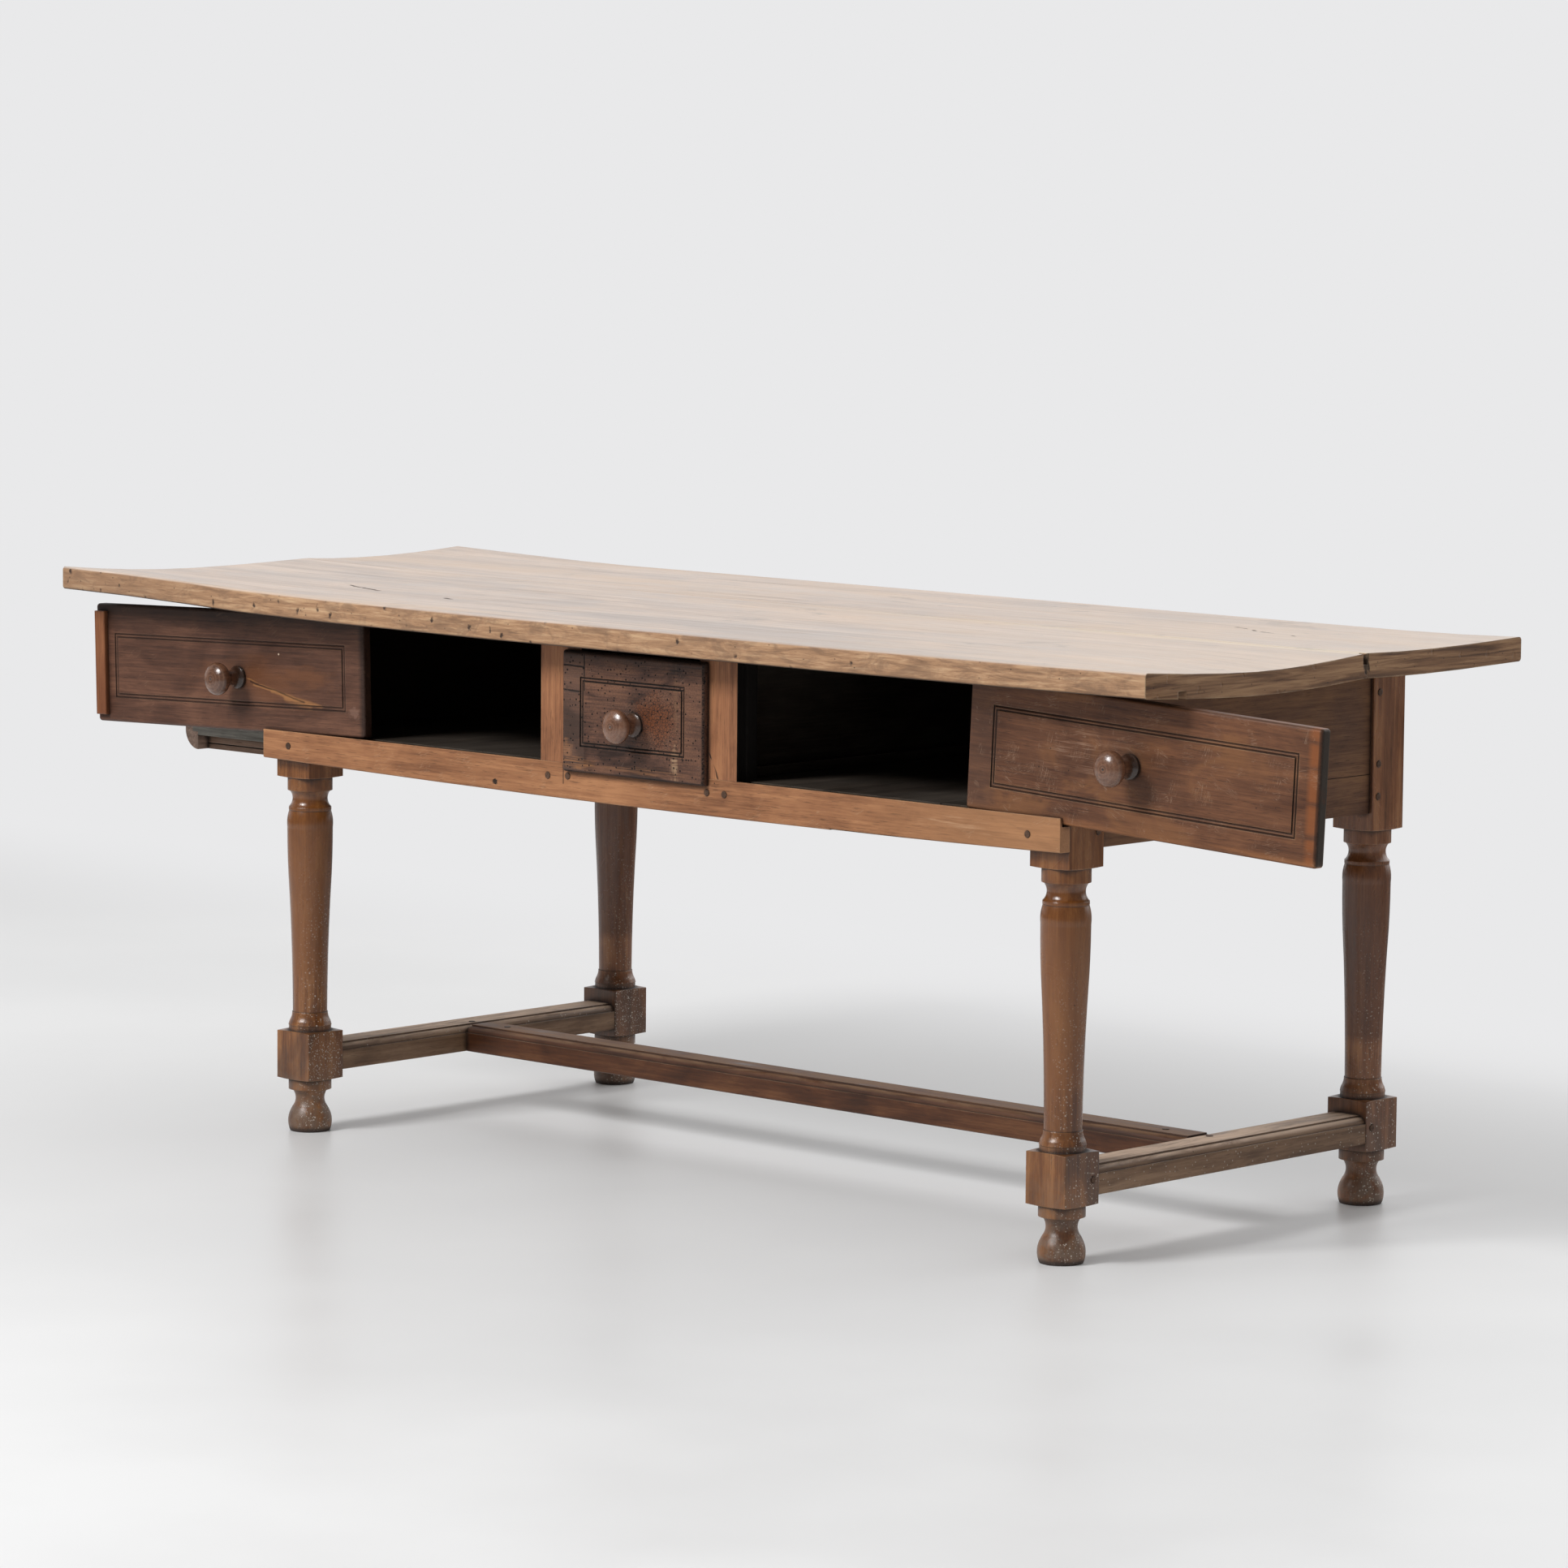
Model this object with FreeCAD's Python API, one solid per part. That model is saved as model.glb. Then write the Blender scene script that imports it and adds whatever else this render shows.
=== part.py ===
"""Old dining table with a drawer, two sliding doors and a pull-out board.

Millimetres, +Z up, +X along the table, and the drawer side faces -Y. The pieces
are laid out round the middle of the four legs and moved once, at the end, so
that the origin is on the floor under the middle of the whole table.
"""
import math
import os

import FreeCAD
import Part

V = FreeCAD.Vector

# Legs and frame
LEG_SPACING_X = 1445.0
LEG_SPACING_Y = 632.0
LEG_BLOCK = 68.2
FRAME_HIGH = 757.0
FOOT_HIGH = 77.0
LOW_BLOCK_HIGH = 71.0
HIGH_BLOCK_LONG = 238.0
SHOULDER_FALL = 1.2
FRONT_OPENING_HIGH = 167.9

# Clearances and the overrun of cuts
SEAT_GAP = 0.3
SLIDE_GAP = 0.7
SHAFT_GAP = 0.05
OVERRUN = 5.0
EASED_EDGE = 1.5

# Turned outlines. Each step is a line to one point or an arc through two, as shares of
# half the block and of the height of the foot, of the shaft or, for knobs, of the knob
SHOULDER_SHARE = 1.012
CORNER_SHARE = 1.44
FOOT_SHARES = [
    [(0.847, 0.0)], [(0.935, 0.208), (0.806, 0.408)], [(0.754, 0.455)],
    [(0.616, 0.629), (0.777, 0.80)], [(0.915, 0.80)], [(0.915, 1.0)],
]
SHAFT_SHARES = [
    [(0.903, 0.0)], [(0.903, 0.0216)], [(0.921, 0.0216)], [(0.871, 0.0377)],
    [(0.80, 0.051), (0.762, 0.0728)], [(0.735, 0.0728)], [(0.815, 0.4191), (0.924, 0.6226)],
    [(0.959, 0.7197), (0.968, 0.80)], [(0.955, 0.8455), (0.885, 0.8705)],
    [(0.905, 0.8705)], [(0.905, 0.8827)], [(0.745, 0.9153), (0.89, 0.9486)],
    [(0.955, 0.9486)], [(0.955, 1.0)],
]
KNOB_SHARES = [
    [(0.693, 0.0)], [(0.693, 0.07)], [(0.52, 0.16), (0.462, 0.29)], [(0.57, 0.49), (0.86, 0.615)],
    [(1.0, 0.765), (0.84, 0.90)], [(0.47, 0.985), (0.067, 1.0)], [(0.0, 0.978)],
]
KNOB_RADIUS = 23.8
KNOB_HIGH = 46.0
DOOR_KNOB_HIGH = 54.0
KNOB_TENON_RADIUS = 7.0

# Stretchers
STRETCHER_ABOVE_FOOT = 12.0
STRETCHER_HIGH = 39.0
END_STRETCHER_WIDE = 66.0
LONG_STRETCHER_WIDE = 62.6
MOULDING_RADIUS = 9.0
MOULDING_QUIRK = 2.2
STRETCHER_TENON_THICK = 24.0
STRETCHER_TENON_SHOULDER = 9.0
CROSS_TENON_LONG = 46.0
END_TENON_LONG = 34.0

# Front rail with the rebate that the doors run in, and the posts on it
RAIL_THICK = 19.3
RAIL_HIGH = 41.4
RAIL_BOW = 9.3
RAIL_BOW_RIGHT = 3.7
RAIL_CHIP_SHARES = (0.735, 0.843)
RAIL_CHIP_HIGH = 2.6
RAIL_CHIP_DEEP = 6.0
RAIL_LIP = 3.5
RAIL_BEHIND_LEGS = 30.0
RAIL_PAST_LEFT_LEG = 7.4
TRACK_WIDE = 16.2
TRACK_DEEP = 11.4
DRAWER_BAY_WIDE = 226.0
POST_LEFT_WIDE = 79.0
POST_RIGHT_WIDE = 70.0
POST_BEHIND_LEGS = 20.0
POST_TENON_THICK = 10.0
POST_TENON_SHOULDER = 10.0
POST_TENON_DEEP = 30.0
POST_POCKET_DEEP = 8.0

# Aprons
APRON_THICK = 22.0
APRON_INSET = 6.0
APRON_BELOW_RAIL = 3.7
LOWER_APRON_HIGH = 53.2
APRON_SEAM = 0.8
APRON_TENON_THICK = 10.0
APRON_TENON_SHOULDER = 12.0
APRON_TENON_LONG = 32.0

# Floor boards, partitions and runners inside
FLOOR_BELOW_RAIL = 1.1
FLOOR_THICK = 13.0
FLOOR_SEAM = 0.8
FLOOR_SIDE_GAP = 0.6
FLOOR_BEHIND_TRACK = 4.0
FLOOR_BOARDS_PER_BAY = 3
FLOOR_RAGGED = 3.0
RAGGED_SHARES = [0.0, 0.53, 0.17, 0.8, 0.37, 1.0, 0.13, 0.63]
LEDGER_DEEP = 20.0
LEDGER_HIGH = 20.0
PARTITION_THICK = 20.0
PARTITION_BEHIND_POST = 1.0
FOOT_STRIP_WIDE = 14.0
FOOT_STRIP_HIGH = 13.0
DRAWER_RUNNER_WIDE = 19.0
DRAWER_RUNNER_ABOVE_RAIL = 0.9

# Doors. Shut, a door stands level; pulled out, it tips over the end of the rail
DOOR_LENGTH = 579.5
DOOR_THICK = 15.0
DOOR_BEHIND_LIP = 2.1
DOOR_INTO_GROOVE = 5.0
DOOR_GROOVE_DEEP = 8.8
DOOR_INTO_POST = 6.0
DOOR_EDGE_ROUND = 4.5
DOOR_CORNER_ROUND = 5.0
LINE_WIDE = 7.0
LINE_DEEP = 1.8
QUIRK_WIDE = 1.2
BEAD_SLOPE_WIDE = 1.7
LATH_WIDE = 22.0
LATH_THICK = 8.0
LATH_HIGH = 154.0
LATH_ROUND = 2.0
LEFT_TRAVEL = 371.0
LEFT_TIP_DEG = 1.70
LEFT_DROP = 4.7
LEFT_KNOB_IN = 265.7
LEFT_KNOB_UP = 77.5
LEFT_FIELD_MARGINS = (41.0, 37.6, 36.0, 43.0)
RIGHT_TRAVEL = 417.0
RIGHT_TIP_DEG = 2.70
RIGHT_DROP = 12.0
RIGHT_KNOB_IN = 274.5
RIGHT_KNOB_UP = 89.9
RIGHT_FIELD_MARGINS = (34.5, 40.5, 33.0, 34.0)

# Drawer
DRAWER_FRONT_PROUD = 11.0
DRAWER_FRONT_ROUND = 6.0
DRAWER_CORNER_ROUND = 3.0
DRAWER_LIP_LEFT = 27.7
DRAWER_LIP_RIGHT = 17.0
DRAWER_LIP_BELOW = 10.1
DRAWER_TOP_GAP = 10.0
DRAWER_SIDE_GAP = 1.0
DRAWER_SIDE_THICK = 12.0
DRAWER_SIDE_BELOW_FRONT = 5.0
DRAWER_LAP = 12.0
DRAWER_DEEP = 520.0
DRAWER_BOTTOM_THICK = 8.0
DRAWER_BOTTOM_UP = 8.0
DRAWER_BOTTOM_LET_IN = 5.0
DRAWER_KNOB_X = -0.8
DRAWER_KNOB_UP = 74.0
DRAWER_FIELD_MARGINS = (35.7, 35.0, 36.0, 35.0)

# Pull-out board under the left compartment
BOARD_DRAWN = 272.0
BOARD_PROUD = 5.4
BOARD_STOP_GAP = 13.9
BOARD_UNDER_FLOOR = 1.5
BOARD_THICK = 18.0
CLEAT_HIGH = 39.5
CLEAT_WIDE = 27.5
CLEAT_ROUND_SHARES = [[(0.72, 0.23), (0.07, 0.785)]]
CLEAT_FLAT_SHARE = 0.07
TONGUE_LONG = 12.0
TONGUE_THICK = 8.0
BATTEN_WIDE = 20.0
BEAD_UP = 7.5
BEAD_WIDE = 1.6
BEAD_DEEP = 2.0
RUNNER_WIDE = 19.9
RUNNER_HIGH = 17.2
BEARER_THICK = 20.0
BEARER_HIGH = 30.0

# Top: two boards with cupped sections. A station is -2 at the left end, -1 and 1 at the
# outer faces of the legs and 2 at the right end; lifts are shares of the warp
TOP_THICK = 33.0
FRONT_OVERHANG = 61.6
BACK_OVERHANG_RIGHT = 4.9
BACK_OVERHANG_LEFT = 31.9
LEFT_OVERHANG = 380.4
RIGHT_OVERHANG = 189.4
SEAM_RIGHT_SHARE = 0.574
SEAM_LEFT_SHARE = 0.598
SEAM_GAP = 0.5
EDGE_ROUND = 5.0
SEAM_ROUND = 1.6
TOP_WARP = 16.0
TOP_WEAR = 2.4
FRONT_LINE_SHARES = (0.361, 0.652)
BACK_LINE_SHARES = (0.388, 0.716)
FRONT_LIFT_SHARES = [
    (-2.0, (1.0, 0.665, 0.2, 0.14, 0.3)), (-1.64, (0.863, 0.438, 0.09, 0.03, 0.17)),
    (-1.272, (0.594, 0.188, 0.0, -0.03, 0.05)), (-1.0, (0.338, 0.0, 0.0, 0.0, 0.0)),
    (-0.74, (0.125, 0.0, 0.0, 0.0, 0.0)), (-0.33, (0.0, 0.0, 0.0, 0.0, 0.0)),
    (0.53, (0.0, 0.0, 0.0, 0.0, 0.0)), (1.0, (0.088, 0.0, 0.0, 0.0, 0.0)),
    (1.5, (0.125, -0.025, -0.13, -0.2, 0.02)), (2.0, (0.17, -0.065, -0.35, -0.56, 0.1)),
]
BACK_LIFT_SHARES = [
    (-2.0, (0.3, -0.13, 0.19, 0.52)), (-1.64, (0.17, -0.05, 0.06, 0.28)),
    (-1.272, (0.05, -0.02, 0.0, 0.08)), (-1.0, (0.0, 0.0, 0.0, 0.0)),
    (1.0, (0.0, 0.0, 0.0, 0.0)), (1.5, (0.02, -0.05, 0.02, 0.07)),
    (2.0, (0.1, -0.12, 0.11, 0.25)),
]
FRONT_WEAR_SHARES = (0.0, 0.25, 1.0, 0.83, 0.0)
BACK_WEAR_SHARES = (0.0, 0.42, 0.33, 0.0)
CHIP_LONG = 16.0
CHIP_WIDE = 9.0
CHIP_DEEP = 13.0
DOWEL_RADIUS = 6.0
DOWEL_LONG = 60.0
DOWEL_COUNT = 6
DOWEL_END_SHARE = 0.077

# Pegs: holder, share of its width and share of the rail's height; the aprons' are
# shares of an apron's height
PEG_RADIUS = 4.6
PEG_LONG = 34.0
PEG_PROUD = 0.8
PEG_FROM_SHOULDER = 12.0
RAIL_PEG_SHARES = [
    ("leg_front_left", 0.67, 0.49), ("leg_front_right", 0.185, 0.394),
    ("post_left", 0.177, 0.514), ("post_left", 0.671, 0.563),
    ("post_right", 0.207, 0.54), ("post_right", 0.671, 0.54),
]
APRON_PEG_SHARES = {
    "end_apron_left": (0.2, 0.74), "end_apron_right_lower": (0.43,),
    "end_apron_right_upper": (0.084, 0.70), "back_apron": (0.2, 0.76),
}
STRETCHER_PEG_SHARE = 0.56
STRETCHER_PEG_LONG = 44.0
CROSS_PEG_FROM_LEGS = 12.0
CROSS_PEG_ALONG_BAR = 55.0
CROSS_PEG_LONG = 30.0

# Places worked out from the sizes
half_x = LEG_SPACING_X / 2
half_y = LEG_SPACING_Y / 2
half_block = LEG_BLOCK / 2
leg_out_x = half_x + half_block
leg_in_x = half_x - half_block
leg_out_y = half_y + half_block
leg_in_y = half_y - half_block
low_block_top = FOOT_HIGH + LOW_BLOCK_HIGH
high_block_low = FRAME_HIGH - HIGH_BLOCK_LONG
rail_top = FRAME_HIGH - FRONT_OPENING_HIGH
rail_low = rail_top - RAIL_HIGH
rail_front_y = -leg_out_y - RAIL_THICK
rail_rear_y = -leg_out_y + RAIL_BEHIND_LEGS
track_front_y = rail_front_y + RAIL_LIP
track_rear_y = track_front_y + TRACK_WIDE
track_z = rail_top - TRACK_DEEP
post_rear_y = -leg_out_y + POST_BEHIND_LEGS
bay_half = DRAWER_BAY_WIDE / 2
floor_top = rail_top - FLOOR_BELOW_RAIL
floor_under = floor_top - FLOOR_THICK
apron_out_x = leg_out_x - APRON_INSET
apron_in_x = apron_out_x - APRON_THICK
back_out_y = leg_out_y - APRON_INSET
back_in_y = back_out_y - APRON_THICK
ledger_y = back_in_y - LEDGER_DEEP
partition_in = bay_half + PARTITION_BEHIND_POST
partition_out = partition_in + PARTITION_THICK
door_front_y = track_front_y + (TRACK_WIDE - DOOR_THICK) / 2
door_low = rail_top - DOOR_BEHIND_LIP
door_high = FRAME_HIGH + DOOR_INTO_GROOVE
groove_z = FRAME_HIGH + DOOR_GROOVE_DEEP
top_z = FRAME_HIGH + TOP_THICK
post_spans = {"left": (-bay_half - POST_LEFT_WIDE, -bay_half),
              "right": (bay_half, bay_half + POST_RIGHT_WIDE)}
SIDES = {"left": -1, "right": 1}
ROWS = {"front": -1, "back": 1}

nodes = {}


def box(xs, ys, zs):
    """A block from a pair of values per axis, each pair in either order."""
    (x0, x1), (y0, y1), (z0, z1) = sorted(xs), sorted(ys), sorted(zs)
    return Part.makeBox(x1 - x0, y1 - y0, z1 - z0, V(x0, y0, z0))


def rod(start, direction, radius, length):
    return Part.makeCylinder(radius, length, V(*start), V(*direction))


def line(a, b):
    return Part.makeLine(V(*a), V(*b))


def arc(a, b, c):
    return Part.Arc(V(*a), V(*b), V(*c)).toShape()


def curve(points):
    """A smooth line drawn towards its inner points, which never swings past them."""
    spline = Part.BSplineCurve()
    spline.buildFromPoles([V(*p) for p in points], False, 3)
    return spline.toShape()


def face_of(edges):
    return Part.Face(Part.Wire(Part.sortEdges(edges)[0]))


def prism(points, direction):
    """A solid from a closed outline pushed along a direction."""
    outline = Part.makePolygon([V(*p) for p in points] + [V(*points[0])])
    return Part.Face(outline).extrude(V(*direction))


def steps_to_edges(start, steps, place):
    """Lines and arcs from share steps, with place turning a share pair into a point."""
    edges = []
    here = place(*start)
    for step in steps:
        points = [place(*p) for p in step]
        edges.append(line(here, points[0]) if len(points) == 1 else arc(here, *points))
        here = points[-1]
    return edges, here


def drive_peg(group, start, direction, length, holders):
    """Drive a peg into the named nodes and add it to a group of pegs."""
    head = [s - d * PEG_PROUD for s, d in zip(start, direction)]
    peg = rod(head, direction, PEG_RADIUS, length + PEG_PROUD)
    for name in holders:
        nodes[name] = nodes[name].cut(peg)
    group.append(peg)


def leg_turning():
    """The leg as turned from a round blank, left full where the blocks are."""
    shoulder = SHOULDER_SHARE * half_block
    corner = CORNER_SHARE * half_block
    shaft_long = high_block_low - low_block_top
    edges, here = steps_to_edges((0.0, 0.0), FOOT_SHARES,
                                 lambda r, z: (r * half_block, 0, z * FOOT_HIGH))
    start = SHAFT_SHARES[0][0]
    block = [here, (shoulder, 0, FOOT_HIGH), (corner, 0, FOOT_HIGH + SHOULDER_FALL),
             (corner, 0, low_block_top - SHOULDER_FALL), (shoulder, 0, low_block_top),
             (start[0] * half_block, 0, low_block_top)]
    edges += [line(a, b) for a, b in zip(block, block[1:])]
    shaft, here = steps_to_edges(start, SHAFT_SHARES[1:],
                                 lambda r, z: (r * half_block, 0, low_block_top + z * shaft_long))
    edges += shaft
    head = [here, (shoulder, 0, high_block_low), (corner, 0, high_block_low + SHOULDER_FALL),
            (corner, 0, FRAME_HIGH), (0, 0, FRAME_HIGH), (0, 0, 0)]
    edges += [line(a, b) for a, b in zip(head, head[1:])]
    return face_of(edges).revolve(V(0, 0, 0), V(0, 0, 1), 360)


def moulded_bar(wide, long):
    """A bar along +Y with a quirked round worked on both upper edges."""
    low = FOOT_HIGH + STRETCHER_ABOVE_FOOT
    high = low + STRETCHER_HIGH
    side = wide / 2
    inner = side - MOULDING_QUIRK
    crown = high - MOULDING_QUIRK
    bow = MOULDING_RADIUS * (1 - math.cos(math.pi / 4))
    edges = [line((-side + EASED_EDGE, 0, low), (side - EASED_EDGE, 0, low)),
             line((-inner + MOULDING_RADIUS, 0, high), (inner - MOULDING_RADIUS, 0, high))]
    for s in SIDES.values():
        edges += [line((s * (side - EASED_EDGE), 0, low), (s * side, 0, low + EASED_EDGE)),
                  line((s * side, 0, low + EASED_EDGE), (s * side, 0, crown - MOULDING_RADIUS)),
                  line((s * side, 0, crown - MOULDING_RADIUS), (s * inner, 0, crown - MOULDING_RADIUS)),
                  arc((s * inner, 0, crown - MOULDING_RADIUS), (s * (inner - bow), 0, crown - bow),
                      (s * (inner - MOULDING_RADIUS), 0, crown)),
                  line((s * (inner - MOULDING_RADIUS), 0, crown),
                       (s * (inner - MOULDING_RADIUS), 0, high))]
    return face_of(edges).extrude(V(0, long, 0))


def rounded_panel(xs, zs, y_front, thick, corner, edge):
    """A panel facing -Y, with its corners and its front edge rounded."""
    panel = box(xs, (y_front, y_front + thick), zs)
    corners = [e for e in panel.Edges if e.BoundBox.YLength > thick / 2]
    panel = panel.makeFillet(corner, corners)
    rim = [e for e in panel.Edges if e.BoundBox.YMax < y_front + thick / 2]
    return panel.makeFillet(edge, rim)


def inset_block(xs, zs, ys, insets):
    """A block whose outline on X and Z is inset by one value at each of its two Y places."""
    (x0, x1), (z0, z1) = sorted(xs), sorted(zs)
    outlines = []
    for y, inset in zip(ys, insets):
        a, b, c, d = x0 + inset, x1 - inset, z0 + inset, z1 - inset
        corners = [(a, y, c), (b, y, c), (b, y, d), (a, y, d), (a, y, c)]
        outlines.append(Part.makePolygon([V(*p) for p in corners]))
    return Part.makeLoft(outlines, True, True)


def field_line(xs, zs, y_front):
    """The line worked round the field of a panel: two quirks with a bead between them."""
    ys = (y_front + LINE_DEEP, y_front - OVERRUN)
    lean = BEAD_SLOPE_WIDE * (1 + OVERRUN / LINE_DEEP)
    inner_quirk = LINE_WIDE - QUIRK_WIDE
    outer_cut = inset_block(xs, zs, ys, (0, 0)).cut(inset_block(xs, zs, ys, (QUIRK_WIDE, QUIRK_WIDE + lean)))
    inner_cut = inset_block(xs, zs, ys, (inner_quirk, inner_quirk - lean))
    return outer_cut.fuse(inner_cut.cut(inset_block(xs, zs, ys, (LINE_WIDE, LINE_WIDE))))


def knob(x, y_face, z, high, tenon):
    """A turned knob standing out along -Y, with a tenon into its panel."""
    edges, tip = steps_to_edges((0.0, 0.0), KNOB_SHARES,
                                lambda r, h: (x + r * KNOB_RADIUS, y_face - h * high, z))
    edges.append(line(tip, (x, y_face, z)))
    head = face_of(edges).revolve(V(x, y_face, z), V(0, 1, 0), 360)
    return head.fuse(rod((x, y_face, z), (0, 1, 0), KNOB_TENON_RADIUS, tenon)).removeSplitter()


# Legs
square = box((-half_block, half_block), (-half_block, half_block), (0, FRAME_HIGH))
upright = [e for e in square.Edges if e.BoundBox.ZLength > LEG_BLOCK]
one_leg = square.makeFillet(EASED_EDGE, upright).common(leg_turning())
leg_boxes = {}
for side, sx in SIDES.items():
    for row, sy in ROWS.items():
        name = "leg_%s_%s" % (row, side)
        nodes[name] = one_leg.translated(V(sx * half_x, sy * half_y, 0))
        leg_boxes[name] = square.translated(V(sx * half_x, sy * half_y, 0))

# Stretchers, one between the legs of each end and one along the middle
stretcher_low = FOOT_HIGH + STRETCHER_ABOVE_FOOT
stretcher_top = stretcher_low + STRETCHER_HIGH
tenon_z = (stretcher_low + STRETCHER_TENON_SHOULDER, stretcher_top - STRETCHER_TENON_SHOULDER)
long_half = half_x - END_STRETCHER_WIDE / 2
long_bar = moulded_bar(LONG_STRETCHER_WIDE, 2 * long_half)
long_bar.rotate(V(0, 0, 0), V(0, 0, 1), -90)
long_bar.translate(V(-long_half, 0, 0))
cross_tenon = box((-long_half - CROSS_TENON_LONG, long_half + CROSS_TENON_LONG),
                  (-STRETCHER_TENON_THICK / 2, STRETCHER_TENON_THICK / 2), tenon_z)
nodes["long_stretcher"] = long_bar.fuse(cross_tenon).removeSplitter()
for side, sx in SIDES.items():
    bar = moulded_bar(END_STRETCHER_WIDE, 2 * leg_in_y)
    bar.translate(V(sx * half_x, -leg_in_y, 0))
    tenon = box((sx * half_x - STRETCHER_TENON_THICK / 2, sx * half_x + STRETCHER_TENON_THICK / 2),
                (-leg_in_y - END_TENON_LONG, leg_in_y + END_TENON_LONG), tenon_z)
    nodes["end_stretcher_" + side] = bar.fuse(tenon).removeSplitter().cut(cross_tenon)
    for row in ROWS:
        name = "leg_%s_%s" % (row, side)
        nodes[name] = nodes[name].cut(tenon)

# Front rail, lapped over the fronts of two legs, its under edge hanging in a bow
rail_ends = (-leg_out_x - RAIL_PAST_LEFT_LEG, leg_out_x)
rail_long = (rail_ends[0] - OVERRUN, rail_ends[1] + OVERRUN)
rail_points = [(rail_ends[0], rail_front_y, rail_low), ((rail_ends[0] + rail_ends[1]) / 2, rail_front_y,
               rail_low - RAIL_BOW), (rail_ends[1], rail_front_y, rail_low - RAIL_BOW_RIGHT),
               (rail_ends[1], rail_front_y, rail_top), (rail_ends[0], rail_front_y, rail_top)]
rail_edges = [arc(*rail_points[:3]), line(*rail_points[2:4]), line(*rail_points[3:]),
              line(rail_points[4], rail_points[0])]
rail = face_of(rail_edges).extrude(V(0, rail_rear_y - rail_front_y, 0))
under = [e for e in rail.Edges if e.BoundBox.ZMax < rail_low + EASED_EDGE and e.BoundBox.XLength > LEG_BLOCK]
rail = rail.makeChamfer(EASED_EDGE, under)
chip_x0, chip_x1 = [rail_ends[0] + s * (rail_ends[1] - rail_ends[0]) for s in RAIL_CHIP_SHARES]
chip_low = rail_low - RAIL_BOW - OVERRUN
rail = rail.cut(prism([(chip_x0, rail_front_y + RAIL_CHIP_DEEP, chip_low), (chip_x0, rail_front_y - OVERRUN, chip_low),
                       (chip_x1, rail_front_y - OVERRUN, chip_low), (chip_x1, rail_front_y, chip_low)],
                      (0, 0, OVERRUN + RAIL_CHIP_HIGH)))
rail = rail.cut(box(rail_long, (track_front_y, track_rear_y), (track_z, rail_top + OVERRUN)))
rail = rail.cut(box(rail_long, (track_rear_y, rail_rear_y + OVERRUN), (floor_under, rail_top + OVERRUN)))
for sx in SIDES.values():
    rail = rail.cut(box((sx * leg_in_x, sx * (leg_out_x + RAIL_PAST_LEFT_LEG + OVERRUN)),
                        (-leg_out_y, rail_rear_y + OVERRUN),
                        (rail_low - RAIL_BOW - OVERRUN, rail_top + OVERRUN)))
nodes["front_rail"] = rail

# Posts on the rail, with a pocket for the end of each door
post_outline = [(rail_front_y, rail_top), (track_front_y, rail_top), (track_front_y, track_z),
                (track_rear_y, track_z), (track_rear_y, floor_under), (post_rear_y, floor_under),
                (post_rear_y, FRAME_HIGH), (rail_front_y, FRAME_HIGH)]
post_middle_y = (rail_front_y + post_rear_y) / 2
post_boxes = []
for side, (x0, x1) in post_spans.items():
    post = prism([(x0, y, z) for y, z in post_outline], (x1 - x0, 0, 0))
    tenon = box((x0 + POST_TENON_SHOULDER, x1 - POST_TENON_SHOULDER),
                (post_middle_y - POST_TENON_THICK / 2, post_middle_y + POST_TENON_THICK / 2),
                (rail_top - POST_TENON_DEEP, rail_top))
    outer = x0 if side == "left" else x1
    pocket = box((outer - POST_POCKET_DEEP, outer + POST_POCKET_DEEP), (track_front_y, track_rear_y),
                 (track_z, FRAME_HIGH + OVERRUN))
    nodes["post_" + side] = post.cut(pocket).fuse(tenon).removeSplitter()
    nodes["front_rail"] = nodes["front_rail"].cut(tenon)
    post_boxes.append(box((x0, x1), (rail_front_y, post_rear_y), (floor_under, FRAME_HIGH)))

# Aprons, tenoned into the legs
apron_spans = {
    "end_apron_left": ("left", floor_under + SLIDE_GAP, FRAME_HIGH),
    "end_apron_right_lower": ("right", rail_low - APRON_BELOW_RAIL,
                              rail_low - APRON_BELOW_RAIL + LOWER_APRON_HIGH),
    "end_apron_right_upper": ("right", rail_low - APRON_BELOW_RAIL + LOWER_APRON_HIGH + APRON_SEAM,
                              FRAME_HIGH),
}
for name, (side, z0, z1) in apron_spans.items():
    sx = SIDES[side]
    middle = sx * (apron_in_x + apron_out_x) / 2
    body = box((sx * apron_in_x, sx * apron_out_x), (-leg_in_y, leg_in_y), (z0, z1))
    tenon = box((middle - APRON_TENON_THICK / 2, middle + APRON_TENON_THICK / 2),
                (-leg_in_y - APRON_TENON_LONG, leg_in_y + APRON_TENON_LONG),
                (z0 + APRON_TENON_SHOULDER, z1 - APRON_TENON_SHOULDER))
    nodes[name] = body.fuse(tenon).removeSplitter()
    for row in ROWS:
        holder = "leg_%s_%s" % (row, side)
        nodes[holder] = nodes[holder].cut(tenon)
back_middle = (back_in_y + back_out_y) / 2
back_body = box((-leg_in_x, leg_in_x), (back_in_y, back_out_y), (rail_low, FRAME_HIGH))
back_tenon = box((-leg_in_x - APRON_TENON_LONG, leg_in_x + APRON_TENON_LONG),
                 (back_middle - APRON_TENON_THICK / 2, back_middle + APRON_TENON_THICK / 2),
                 (rail_low + APRON_TENON_SHOULDER, FRAME_HIGH - APRON_TENON_SHOULDER))
nodes["back_apron"] = back_body.fuse(back_tenon).removeSplitter()
for side in SIDES:
    nodes["leg_back_" + side] = nodes["leg_back_" + side].cut(back_tenon)

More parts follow.
